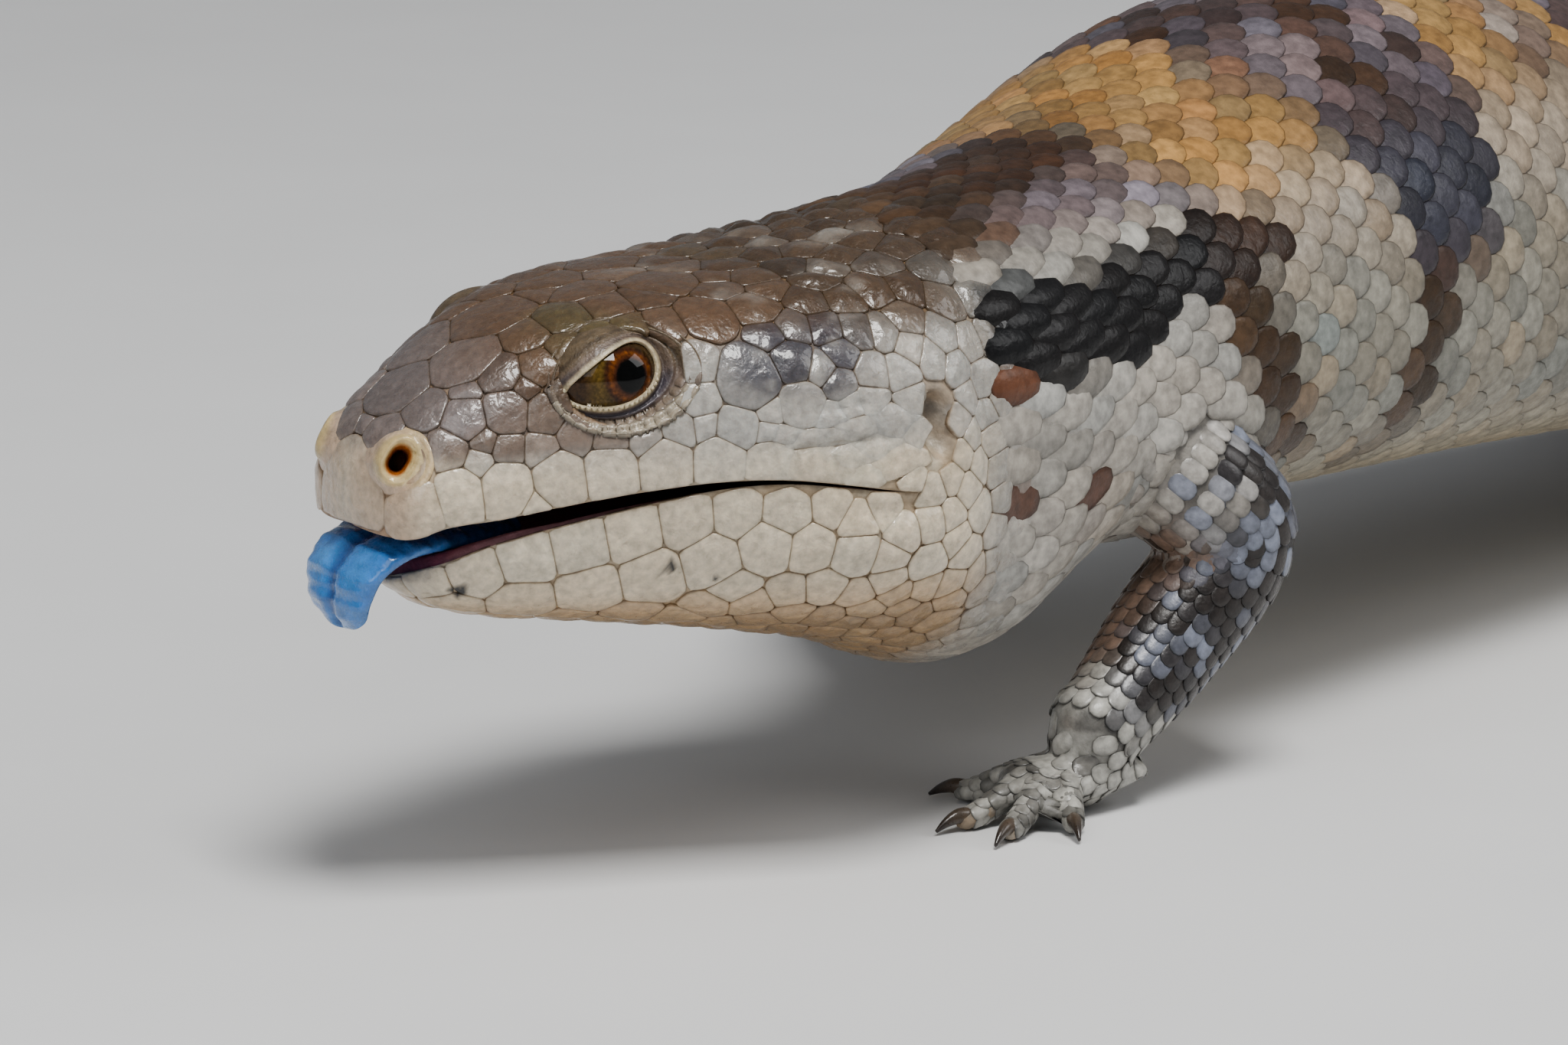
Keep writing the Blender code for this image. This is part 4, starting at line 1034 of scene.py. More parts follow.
def skin_colours(points):
    """Colours of the skin: darker than the scales, with the mouth's lining, and painted shade in the nostrils
    and ears.
    """
    colour = skin_tint(points) * SKIN_SHADE
    gap, share, outward = limb_place(points)
    limb = limb_tint(points, outward, share) * SKIN_SHADE
    s, side, z = along_spine(points)
    colour = mix(colour, limb, (1 - smooth(gap, 0.3, 2.0)) * smooth(share, 0.18, 0.35))
    lining = np.zeros(len(points), bool)
    for table in mouth_tables(openings(UPPER), LOWER):
        known = known_points(table[:, 1:-1].reshape(-1, 3))
        for i in np.flatnonzero((s > -1) & (s < MOUTH_CORNER + 1) & (z > 26) & (z < 47)):
            if known.find(points[i])[2] < 0.05:
                lining[i] = True
                edge = float(half_width(s[i])) - abs(side[i])
                colour[i] = mix(LIP_PINK, LINING, smooth(edge, 2.5, 4.5))
    for sign, _ in SIDES:
        centre, axis, _, _ = nostril_frame(sign)
        off = points - centre
        # Painted shade in the nostril's hole.
        painted_hole_shade = (1 - smooth(beside(off, axis), 1.2, 1.9)) * (np.abs(off @ axis) < 5)
        colour = mix(colour, NOSTRIL_PAINTED_SHADE, painted_hole_shade)
        # Painted shade in the ear's opening.
        off = (points - ear_place(sign)) / (2.2, 2.2, 3.4)
        colour = mix(colour, EAR_PAINTED_SHADE, 1 - smooth(np.linalg.norm(off, axis=1), 0.7, 1.1))
    seam = smooth(noise(points, 1.5, 14), 0.2, 0.8) * 0.5
    return np.where(lining[:, None], colour, mix(colour, SEAM, seam * (points[:, 0] > 170)))


def round_ways(sides, roundness=1.0):
    """Sides points of a rounded square round (0, 0), which is a circle at a roundness of 1."""
    a = np.linspace(0, 2 * math.pi, sides, endpoint=False)
    return [np.sign(way) * np.abs(way) ** roundness for way in (np.cos(a), np.sin(a))]


def plate_tints(base, painted_ring_shade, sides):
    """A colour for each point of plates, from a colour for each plate and a brightness for each ring; the
    darker outer rings are painted shade where the plates sink into the skin.
    """
    return base[:, None, None] * np.array(painted_ring_shade)[:, None, None] * np.ones((1, 1, sides, 1))


# Scales and shields: closed plates over the skin, each a centre point and rings of points round it.
def plate_faces(count, rings, sides):
    """Faces of many like plates: a fan on top, rings of quads, and a fan underneath."""
    per = rings * sides + 2
    i = np.arange(sides)
    j = (i + 1) % sides
    quads = np.concatenate([np.stack([k + i, k + sides + i, k + sides + j, k + j], axis=1)
                            for k in range(0, (rings - 1) * sides, sides)])
    last, middle = (rings - 1) * sides, np.full(sides, rings * sides)
    tris = np.concatenate([np.stack([middle, i, j], axis=1),
                           np.stack([middle + 1, last + j, last + i], axis=1)])
    shift = (np.arange(count) * per)[:, None, None]
    return [(quads + shift).reshape(-1, 4), (tris + shift).reshape(-1, 3)]


def make_coat(name, rings, middles, feet, tints, roots, look):
    """Objects over plates given as [n, rings, sides, 3], with their colours and roots on the unwrap."""
    count, depth, sides = rings.shape[:3]
    reach = np.linspace(0.35, 1, depth)[:, None] * PATCH_RADIUS
    patch = np.stack([reach * way for way in round_ways(sides)], axis=-1).reshape(-1, 2)
    patch = np.concatenate([patch, [[0, 0], [0, 0]]])
    pieces = max(1, math.ceil(count * sides * 2 * depth / MOST_TRIANGLES))
    for part, ids in enumerate(np.array_split(np.arange(count), pieces)):
        n = len(ids)
        points = [rings[ids].reshape(n, -1, 3), middles[ids][:, None], feet[ids][:, None]]
        colours = [tints[ids].reshape(n, -1, 3), tints[ids][:, 0, :1], tints[ids][:, -1, :1]]
        points, colours = (np.concatenate(parts, axis=1).reshape(-1, 3) for parts in (points, colours))
        uv = (roots[ids][:, None] + patch).reshape(-1, 2)
        new_object(f"{name}_{part + 1}", points, plate_faces(n, depth, sides), colours, look, uv)


PATCH_RADIUS = 0.0015  # of each plate's patch on the unwrap
MOST_TRIANGLES = 190000
SCALE_SIDES = 14
BODY_COAT_START, SCALES_ROUND = 59.5, 36  # s of the first ring, and the number of its scales
MOST_PITCH = 3.5  # from a ring to the next
TAPER_START, TAIL_SCALE_WIDTH = 262, 4.6  # from here the rings have fewer scales as the tail gets thinner
# Rows of each ring's reach from a scale's middle and its height.
SCALE_RINGS = ((0.36, 0.0), (0.70, 0.0), (0.92, -0.01), (1.0, -0.10), (0.985, -0.48))


def scale_grid(sheet, s, c, length, width, lift, slope, dome):
    """Rounded, overlapping scales on a sheet: each tilts up towards its free rear edge."""
    s, c, length, width, lift, slope, dome = (np.asarray(v, float)[:, None, None] for v in
                                              np.broadcast_arrays(s, c, length, width, lift, slope, dome))
    ex, ey = round_ways(SCALE_SIDES, 0.8)
    ex = np.where(ex > 0, ex * 0.98, ex * 0.95)
    reach, drop = np.array(SCALE_RINGS).T[:, :, None]
    x, y = ex * reach * length, ey * reach * width * 0.5
    around = c / sheet.round_at(s)
    at, normal = sheet.at(s + x, around * sheet.round_at(s + x) + y)
    high = lift + slope * x + dome * (1 - (ex * reach) ** 2 * 0.5 - (ey * reach) ** 2) + drop
    rings = at + normal * high[..., None]
    at, normal = sheet.at(s[:, 0, 0], c[:, 0, 0])
    return rings, at + normal * (lift + dome)[:, 0], at - normal * 0.6


def trunk_scales(sheet):
    """Rows of scales from the neck to the tail's tip, staggered from ring to ring."""
    rng = np.random.default_rng(7)
    rows, s, ring, count = [], BODY_COAT_START, 0, SCALES_ROUND
    while s < TAIL_TIP - 3:
        girth = float(sheet.round_at(s))
        if s >= TAPER_START:
            count = min(count, max(8, 2 * round(girth / TAIL_SCALE_WIDTH / 2)))
        width = girth / count
        pitch = min(MOST_PITCH, 0.80 * width + 0.15) * (0.8 + 0.2 * float(smooth(s, 58, 80)))
        for k in range(count):
            c = (k + 0.5 * (ring % 2)) * width - girth / 2
            rows.append((s, c, pitch, width))
        ring += 1
        s += pitch
    s, c, pitch, width = np.array(rows).T
    jitter = rng.normal(0, 1, (len(s), 4))
    girth = sheet.round_at(s)
    share = np.abs(c - girth * np.round(c / girth)) / (girth / 2)
    at, _ = sheet.at(s, c)
    gap, _, _ = limb_place(at)
    keep = gap > -0.5
    neck = (1 - smooth(s, 62, 84)) * (1 - smooth(share, 0.35, 0.6))
    low = smooth(share, 0.8, 0.95) * smooth(s, 300, 330)
    lift = 0.30 + 0.02 * jitter[:, 0] - 0.24 * low
    slope = (0.085 + 0.012 * jitter[:, 1]) * (1 - 0.6 * smooth(share, 0.6, 0.8))
    slope = slope * np.clip(width / 4.4, 0.4, 1)
    dome = 0.10 + 0.42 * neck
    rings, middle, foot = scale_grid(sheet, s, c, pitch, width * 1.04, lift, slope, dome)
    rings[..., 2] = np.maximum(rings[..., 2], SCALE_GAP)
    foot[:, 2] = np.maximum(foot[:, 2], ROOT_GAP)
    base = skin_tint(at)
    dark = 1 - smooth(base.mean(axis=1), 0.15, 0.3)[:, None]
    base = base * np.exp((0.06 + 0.14 * dark) * jitter[:, 2:3])
    base = base * (1 + (0.02 + 0.05 * dark) * jitter[:, 3:4] * (1, 0, -1))
    # Darker towards each scale's rim, where it sinks into the skin: painted shade. The dark brown rim mixed
    # in after is partly the scales' own dark edges, partly painted shade.
    tints = plate_tints(base, (1.12, 1.06, 0.95, 0.8, 0.5), SCALE_SIDES)
    edge = np.array([0, 0, 0.05, 0.55, 0.8])[:, None]
    tints = mix(tints, base[:, None, None] * 0.45 + np.array(DARK_BROWN) * 0.3, edge)
    roots = unwrapped(s, c / girth + 0.5)
    make_coat("body_scales", rings[keep], middle[keep], foot[keep], tints[keep], roots[keep],
              SCALE_MATERIAL)


# Head shields: s, side and z of each one's middle on the left side, its radius, and how far it domes.
MIDDLE_SHIELDS = (
    ("rostral", 0.0, 0, 40.6, 5.4, 0.25), ("frontonasal", 5.4, 0, 50.0, 3.7, 0.18),
    ("frontal", 15.5, 0, 55.8, 4.4, 0.18), ("interparietal", 29.5, 0, 58.6, 2.3, 0.2),
    ("mental", 3.7, 0, 31.0, 2.6, 0.2),
)
SIDE_SHIELDS = (
    ("nasal", 1.4, 3.4, 45.9, 2.6, 0.2), ("behind nostril", 5.4, 9.3, 45.6, 1.7, 0.15),
    ("canthal", 5.2, 5.8, 48.9, 1.9, 0.15), ("prefrontal", 10.2, 4.0, 53.3, 3.7, 0.18),
    ("loreal 1", 7.6, 8.9, 48.3, 2.0, 0.15), ("loreal 2", 11.0, 10.7, 48.9, 2.1, 0.15),
    ("loreal 3", 14.3, 12.4, 48.6, 1.7, 0.15), ("outer prefrontal", 11.5, 8.6, 52.2, 2.0, 0.15),
    ("canthal 2", 14.6, 10.6, 52.9, 1.6, 0.15),
    ("supraocular 1", 15.6, 6.6, 55.2, 2.3, 0.2), ("supraocular 2", 19.6, 7.0, 56.5, 2.7, 0.25),
    ("supraocular 3", 23.8, 7.8, 57.2, 2.5, 0.25), ("supraocular 4", 27.6, 8.4, 57.6, 2.0, 0.22),
    ("brow 1", 17.4, 11.0, 54.9, 1.5, 0.15), ("brow 2", 20.5, 11.9, 55.4, 1.6, 0.15),
    ("brow 3", 23.7, 12.6, 55.8, 1.6, 0.15), ("brow 4", 26.7, 13.4, 56.0, 1.5, 0.15),
    ("frontoparietal", 24.0, 2.9, 57.9, 2.7, 0.18), ("parietal", 31.4, 5.6, 58.4, 3.6, 0.2),
    ("upper temporal", 31.6, 14.0, 56.4, 2.6, 0.2), ("upper temporal 2", 36.6, 14.4, 56.6, 2.3, 0.22),
    ("preocular", 15.4, 13.4, 50.4, 1.1, 0.12),
    ("subocular 1", 16.6, 14.3, 46.6, 1.4, 0.15), ("subocular 2", 19.6, 15.7, 45.9, 1.5, 0.15),
    ("subocular 3", 22.7, 16.9, 45.9, 1.5, 0.15), ("subocular 4", 25.7, 17.9, 46.6, 1.5, 0.15),
    ("postocular 1", 28.0, 17.9, 49.3, 1.5, 0.15), ("postocular 2", 28.2, 17.2, 52.4, 1.5, 0.15),
    ("temporal", 32.8, 19.6, 51.2, 2.9, 0.25), ("temporal 2", 37.4, 20.4, 52.8, 1.9, 0.3),
    ("temporal 3", 37.6, 21.6, 48.2, 2.0, 0.25), ("temporal 4", 31.2, 19.9, 46.6, 2.0, 0.2),
    ("over the labials 1", 10.4, 12.2, 45.6, 1.3, 0.12), ("over the labials 2", 13.4, 13.2, 45.3, 1.3, 0.12),
    ("supralabial 1", 2.4, 9.1, 40.4, 2.3, 0.25), ("supralabial 2", 5.7, 11.0, 41.5, 2.3, 0.25),
    ("supralabial 3", 10.0, 12.6, 42.0, 2.4, 0.25), ("supralabial 4", 14.7, 14.3, 42.7, 2.4, 0.25),
    ("supralabial 5", 19.4, 16.1, 43.2, 2.4, 0.25), ("supralabial 6", 24.3, 17.9, 43.5, 2.5, 0.25),
    ("supralabial 7", 29.3, 19.8, 43.4, 2.5, 0.25), ("supralabial 8", 34.3, 21.3, 42.9, 2.3, 0.25),
    ("supralabial 9", 38.6, 22.4, 42.4, 2.0, 0.25),
    ("infralabial 1", 5.2, 5.6, 32.0, 2.0, 0.18), ("infralabial 2", 8.3, 9.4, 33.4, 2.0, 0.18),
    ("infralabial 3", 12.4, 12.0, 34.9, 2.2, 0.18), ("infralabial 4", 17.0, 14.1, 36.0, 2.3, 0.18),
    ("infralabial 5", 21.8, 16.1, 37.0, 2.3, 0.18), ("infralabial 6", 26.6, 18.0, 37.9, 2.3, 0.18),
    ("infralabial 7", 31.4, 19.8, 38.3, 2.2, 0.18), ("infralabial 8", 36.0, 21.3, 38.1, 2.1, 0.18),
    ("chin 1", 8.0, 5.4, 28.8, 2.6, 0.15), ("chin 2", 13.5, 9.2, 29.6, 2.8, 0.15),
    ("chin 3", 19.0, 12.4, 30.6, 2.7, 0.15), ("chin 4", 24.4, 15.1, 32.0, 2.6, 0.15),
    ("chin 5", 29.6, 17.6, 33.5, 2.5, 0.15), ("chin 6", 34.6, 19.9, 34.8, 2.4, 0.15),
)


# The dark specks of the lower jaw: s, side, z and radius.
SPECKS = ((7.3, 8.2, 31.5, 1.0), (25.6, 16.4, 33.0, 0.8), (30.2, 17.5, 31.5, 0.55), (27.6, 17.2, 34.4, 0.5))
HEAD_COAT_END = 60.5  # s where the head's shields end and the body's scales begin
SHARPNESS = 18  # of the shields' corners
RUGGED = 0.18  # depth of the shields' unevenness
NEAR_LIP = 7  # shields whose middles are nearer than this to the lip end at it


def filler_radius(s, z):
    """Radius of the small shields between the large ones, by their place."""
    upper = z > upper_lip(s) - 0.5
    crown = smooth(z, 53, 56)
    cheek = 1.05 + 0.25 * smooth(z, 48, 50)
    size = np.where(upper, cheek * (1 - crown) + 1.85 * crown, 1.95 - 0.35 * smooth(s, 30, 45))
    size = np.where((s < 17) & upper, 1.0, size)
    return np.where(s > 46, 1.45 + 0.4 * crown, size)


def head_seeds():
    """Middles, radii and domes of all shields of the head, and middles and radii of the openings.

    The shields are those named above, mirrored, and small ones between them.
    """
    rows = [(s, side, z, r, dome) for _, s, side, z, r, dome in MIDDLE_SHIELDS]
    for sign, _ in SIDES:
        rows += [(s, side * sign, z, r, dome) for _, s, side, z, r, dome in SIDE_SHIELDS]
    s, side, z, given_radii, given_domes = np.array(rows, float).T
    found = np.array([HEAD_TREE.find_nearest(Vector(p))[0] for p in place(s, side, z)])
    holes, wide = [], []
    for sign, _ in SIDES:
        centre, out, _, _ = eye_frame(sign)
        holes += [centre + out * 3.6, nostril_frame(sign)[0], ear_place(sign, -2.0), ear_place(sign, 2.0)]
        wide += [5.7, 3.1, 2.0, 2.0]
    rng = np.random.default_rng(3)
    pool = np.concatenate([UPPER[UPPER_S < HEAD_COAT_END][:, UPPER_SIDES:].reshape(-1, 3),
                           LOWER[LOWER_S < HEAD_COAT_END][:, LOWER_SIDES:].reshape(-1, 3)])
    pool = pool[rng.permutation(len(pool))]
    s, side, z = along_spine(pool)
    size = filler_radius(s, z) * rng.uniform(0.85, 1.15, len(pool))
    taken, taken_size = np.concatenate([found, holes]), np.concatenate([given_radii, wide])
    from_middle = np.abs(side)
    extra = []
    rim = np.where(s < MOUTH_CORNER, np.minimum(np.abs(z - upper_lip(s)), np.abs(z - lower_lip(s))), 9)
    clear = (from_middle > size * 0.8) | (from_middle < 0.05)  # of the middle line, or right on it
    snout = (s < 4.5) & (z > 34) & (z < 43.5)
    for i in np.flatnonzero((rim > 0.75) & clear & ~snout):
        gap = np.linalg.norm(taken - pool[i], axis=1) - taken_size - size[i]
        if gap.min() > -0.16 * size[i]:
            twin = [pool[i]] if from_middle[i] < 0.05 else [pool[i], place(s[i], -side[i], z[i])]
            taken = np.concatenate([taken, twin])
            taken_size = np.concatenate([taken_size, [size[i]] * len(twin)])
            extra += [(point, size[i]) for point in twin]
    points = np.concatenate([found, [point for point, _ in extra]])
    radii = np.concatenate([given_radii, [r for _, r in extra]])
    s, _, z = along_spine(points)
    knobs = smooth(s, 34, 46) * smooth(z, 52, 56)
    dome = np.concatenate([given_domes, np.full(len(extra), 0.16)]) + 0.32 * knobs
    return points, radii, dome, np.array(holes), np.array(wide)


def lip_line(table):
    """The lip's edge from the right corner of the mouth round the snout to the left corner."""
    rows = (UPPER_S if table is UPPER else LOWER_S) <= MOUTH_CORNER
    return np.concatenate([table[rows][::-1, 0], table[rows][1:, -1]])


def shield_rings(points, radii, dome, holes, wide, tree_for, edge_for, high=0.30, sides=36, squeeze=None,
                 most=1.9, reach_out=5.0):
    """Rings of each shield: its border lies half way to its neighbours, with rounded corners.

    tree_for and edge_for give the surface under a shield and the lip that it ends at, by its number. squeeze
    is each shield's height over its length, most its farthest border in radii, and reach_out how far off its
    middle's plane the surface may lie.
    """
    everything, sizes = np.concatenate([points, holes]), np.concatenate([radii, wide])
    known = known_points(everything)
    ways = np.stack(round_ways(sides), axis=1)
    rings, middles, feet = [], [], []
    for i, point in enumerate(points):
        tree = tree_for(i)
        normal = np.array(tree.find_nearest(Vector(point))[1])
        normal = normal if normal @ (point - inside_head(point)) > 0 else -normal
        ahead = np.array([1.0, -0.3, 0]) if abs(normal[0]) < 0.8 else UP
        back = unit(-ahead + normal * (ahead @ normal))
        up = np.cross(normal, back)
        stretch = 1.0 if squeeze is None else squeeze[i]
        limits = []
        for _, j, _ in known.find_n(Vector(point), 22):
            if j == i:
                continue
            off = everything[j] - point
            flat = np.array([off @ back * stretch, off @ up])
            length = max(np.linalg.norm(flat), 1e-6)
            apart = np.linalg.norm(off)
            true = np.linalg.norm([apart * flat[0] / length, apart * flat[1] / length])
            flat = flat / length
            reach = (true ** 2 + radii[i] ** 2 - sizes[j] ** 2) / (2 * true)
            limits.append((flat, max(reach, 0.25 * radii[i])))
        edge = edge_for(i)
        if edge is not None:
            near = np.linalg.norm(edge - point, axis=1).argmin()
            if np.linalg.norm(edge[near] - point) < NEAR_LIP:
                first, last = edge[max(near - 3, 0)], edge[min(near + 3, len(edge) - 1)]
                line = np.array([(last - first) @ back * stretch, (last - first) @ up])
                side = unit(np.array([-line[1], line[0]]))
                off = edge[near] - point
                reach = np.array([off @ back * stretch, off @ up]) @ side
                limits.append((side * np.sign(reach), abs(reach) - 0.02))
        borders = np.array([n for n, _ in limits])
        far = np.array([reach for _, reach in limits])
        facing = ways @ borders.T
        cap = np.full((sides, 1), 1 / (most * radii[i]))
        inverse = np.concatenate([np.where(facing > 1e-3, facing / far, 0), cap], axis=1)
        size = (inverse ** SHARPNESS).sum(axis=1) ** (-1 / SHARPNESS)
        bevel = np.minimum(0.34, 0.35 * size)
        levels = [((size - bevel) * 0.45, dome[i] * 0.8), ((size - bevel) * 0.8, dome[i] * 0.36),
                  (size - bevel, 0.0), (size - bevel * 0.4, -0.03), (size, -0.11), (size, -high - 0.35)]
        flat = np.array([ways * reach[:, None] / (stretch, 1) for reach, _ in levels])
        target = point + flat[..., :1] * back + flat[..., 1:] * up
        found, facing = project(tree, target, normal, reach_out)
        lift = np.array([high + extra for _, extra in levels])[:, None, None]
        rough = RUGGED * (noise(found, 1.5, 81) - 0.5) * min(1.0, radii[i] / 1.5)
        rings.append(found + unit(facing * 0.6 + normal * 0.4) * (lift + rough[..., None]))
        middles.append(point + normal * (high + dome[i]))
        feet.append(point - normal * 0.4)
    return np.array(rings), np.array(middles), np.array(feet)


def inside_head(point):
    """A point inside the head or neck, level with the given point."""
    s = float(np.clip(along_spine(point)[0], 8, 80))
    return place(s, 0, 0.5 * float(top(s) + bottom(s)))


def shield_colours(points, rings, rng):
    """Colour of each shield's points: its own place's colour, a little different from its neighbours', with
    painted shade towards its rim.
    """
    base = skin_tint(points)
    dark = 1 - smooth(base.mean(axis=1), 0.15, 0.35)[:, None]
    shade = 1 + (0.035 + 0.09 * dark) * rng.normal(0, 1, len(points))[:, None]
    warm = 0.022 * rng.normal(0, 1, len(points))[:, None] * np.array([1, 0, -1])
    base = base * shade * (1 + warm)
    local = skin_tint(rings.reshape(-1, 3)).reshape(rings.shape) * shade[..., None, None]
    # Each shield darkens towards its rim and sides: painted shade where it meets its neighbours. The seam
    # colour mixed in next is the grooves' own colour.
    tints = (0.5 * base[:, None, None] + 0.5 * local) * np.array([1, 1, 1, 0.93, 0.70, 0.5])[:, None, None]
    light = smooth(base.mean(axis=1), 0.15, 0.35)[:, None, None]
    seam = np.array([0, 0, 0, 0.04, 0.32, 0.8])[:, None]
    tints = mix(tints, np.asarray(SEAM) * (0.5 + 0.5 * light[..., None]), seam * 0.8)
    for s, side, z, radius in SPECKS:
        gap = np.linalg.norm(rings - place(s, side, z), axis=-1) + 0.5 * (noise(rings, 0.8, 41) - 0.5)
        tints = mix(tints, BLACK, 1 - smooth(gap, radius * 0.7, radius * 1.1))
    return tints


def head_shields():
    """All shields of the head, jaws and throat."""
    rng = np.random.default_rng(5)
    points, radii, dome, holes, wide = head_seeds()
    s, _, z = along_spine(points)
    above = z > gape_middle(s)
    lips = {True: lip_line(UPPER), False: lip_line(LOWER)}
    ahead = s < MOUTH_CORNER

    def tree_for(i):
        """The surface under shield i."""
        if not ahead[i]:
            return HEAD_TREE
        return UPPER_TREE if above[i] else LOWER_TREE

    def edge_for(i):
        """The lip near shield i, if there is one."""
        return lips[bool(above[i])] if s[i] < MOUTH_CORNER + 1 else None

    cheek = smooth(s, 33, 38) * (1 - smooth(s, 46, 50)) * (1 - smooth(z, 46, 49)) * smooth(z, 40, 42)
    rings, middles, feet = shield_rings(points, radii, dome, holes, wide, tree_for, edge_for,
                                        squeeze=1 - 0.45 * cheek)
    tints, roots = shield_colours(points, rings, rng), head_roots(points)
    for part, pick, finish in (("head_shields", above, "head_skin"), ("jaw_shields", ~above, "jaw_skin")):
        make_coat(part, rings[pick], middles[pick], feet[pick], tints[pick], roots[pick],
                  SHIELD_MATERIAL)


LID_FOLDS = 2 * math.pi * 3.4  # three folds and a half from the lids' margin out to the skin
# Rows of beads and scales on the lower lid: share of the way out, how many round the eye, and radius.
LID_SCALE_ROWS = ((0.045, 50, 0.28), (0.58, 34, 0.6), (0.84, 30, 0.8))


def lid_outline(a):
    """The opening between the lids, forwards and up from the eye's middle, for angles round it."""
    x = LID_FORWARD + LID_HALF_LENGTH * np.cos(a)
    open_up = LID_TOP * (1 - 0.3 * np.cos(a))
    open_down = LID_BOTTOM * (1 - 0.15 * np.cos(a))
    lift = np.sin(a) * np.where(np.sin(a) > 0, open_up, open_down)
    return x, lift - LID_DROP * np.cos(a)


def lid_colour(x, z, share, points):
    """Cream at the lids' margin, brown with painted shade in the creases above, and a dark crescent behind
    and below.
    """
    tint = mix((0.50, 0.42, 0.28), (0.165, 0.122, 0.095), smooth(share, 0.08, 0.22))
    crescent = np.exp(-((share - 0.30) / 0.12) ** 2) * smooth(-z + 0.2 * np.abs(x), -0.6, 1.8)
    tint = mix(tint, (0.040, 0.036, 0.055), crescent * 0.85)
    tint = mix(tint, (0.34, 0.29, 0.22), smooth(share, 0.5, 0.7) * (1 - smooth(z, -2.5, -0.5)))
    tint = mix(tint, (0.130, 0.094, 0.056), smooth(z, -0.5, 1.5) * smooth(share, 0.25, 0.5))
    # Painted shade in the valleys of the lid's folds.
    crease = smooth(-np.sin(share * LID_FOLDS), 0.2, 1) * smooth(share, 0.15, 0.25) * smooth(z, -0.5, 1.0)
    tint = mix(tint, (0.045, 0.030, 0.020), crease * 0.5)
    return tint * (0.85 + 0.3 * noise(points, 1.2, 51))[..., None]


def make_lids():
    """The lids of each eye: a dense collar from the margin on the eyeball out to the skin, and its scales."""
    rng = np.random.default_rng(11)
    a = np.linspace(0, 2 * math.pi, 193)
    x, z = lid_outline(a)
    outer_x, outer_z = 6.9 * np.cos(a), 5.6 * np.sin(a) - 0.5 * np.cos(a)
    share = np.concatenate([[0, 0, 0, 0.0], np.linspace(0.03, 1, 42)])
    # The first rows turn in under the margin, down to the eyeball.
    draw = np.concatenate([[0.93, 0.955, 0.975, 0.995], np.ones(42)])[:, None]
    lift = np.concatenate([[-0.9, -0.1, 0.22, 0.40], np.full(42, 0.52)])[:, None]
    column = share[:, None]
    px = (x * (1 - column) + outer_x * column) * draw
    pz = (z * (1 - column) + outer_z * column) * draw
    ball = eye_depth(px, pz)
    fold = 0.26 * np.sin(column * LID_FOLDS) * smooth(column, 0.1, 0.2)
    blend = smooth(column, 0.16, 0.92)
    for sign, name in SIDES:
        centre, out, front, up = eye_frame(sign)
        flat = centre + px[..., None] * front + pz[..., None] * up
        skin_at, _ = project(UPPER_TREE, flat + out * 4.0, out, 8.0)
        skin_high = (skin_at - centre) @ out
        low = np.maximum(ball, skin_high - 1.9) + lift
        high = low * (1 - blend) + (skin_high + 0.42 - 0.9 * smooth(column, 0.90, 1.0)) * blend + fold
        high = np.where(ball > 0.2, np.maximum(high, ball + np.where(column > 0.02, 0.5, -9.0)), high)
        table = flat + high[..., None] * out
        tint = lid_colour(px, pz, np.broadcast_to(column, px.shape), table)
        under = table[::-1] - out * 1.1
        loop = np.concatenate([table, under[:1], under[-1:], table[:1]])
        loop_tint = np.concatenate([tint, tint[-1:], tint[:1], tint[:1]])
        lofted(f"eyelids_{name}", loop, loop_tint, LID_MATERIAL)
        tree = tree_of([table])
        seeds, radii, where = [], [], []
        for at, count, r in LID_SCALE_ROWS:
            row = int(np.abs(share - at).argmin())
            run = run_length(table[row])
            even = (np.arange(count) + rng.uniform(-0.12, 0.12, count) + 0.5) / count * run[-1]
            seeds.append(read_line(even, run, table[row]))
            radii.append(r * rng.uniform(0.9, 1.1, count))
            where.append(np.full(count, share[row]))
        seeds, radii, where = np.concatenate(seeds), np.concatenate(radii), np.concatenate(where)
        low_lid = (seeds - centre) @ up < -0.6
        seeds, radii, where = seeds[low_lid], radii[low_lid], where[low_lid]
        off = seeds - centre
        base = lid_colour(off @ front, off @ up, where, seeds)
        rings, middles, feet = shield_rings(seeds, radii, np.full(len(seeds), 0.10), [centre + out * 4.0],
                                            [0.5], lambda i: tree, lambda i: None, high=0.10, sides=20,
                                            most=1.15, reach_out=0.5)
        # Darker towards each scale's rim, where it sinks into the lid: painted shade.
        tints = plate_tints(base, (1.05, 1.05, 1, 0.9, 0.7, 0.5), 20)
        make_coat(f"lid_scales_{name}", rings, middles, feet, tints, head_roots(seeds),
                  SHIELD_MATERIAL)


# Rows of reach from the axis and height, from the bottom of the hole over the rim and back under it.
NOSTRIL_PROFILE = ((0.75, -2.6), (0.95, -1.5), (1.2, -0.5), (1.45, 0.0), (1.72, 0.24), (2.0, 0.26),
                   (2.3, 0.08), (2.6, 0.0), (2.9, 0.02), (3.15, -0.04), (3.32, -0.16), (3.36, -0.6),
                   (2.7, -1.3), (1.7, -2.8), (0.75, -2.6))


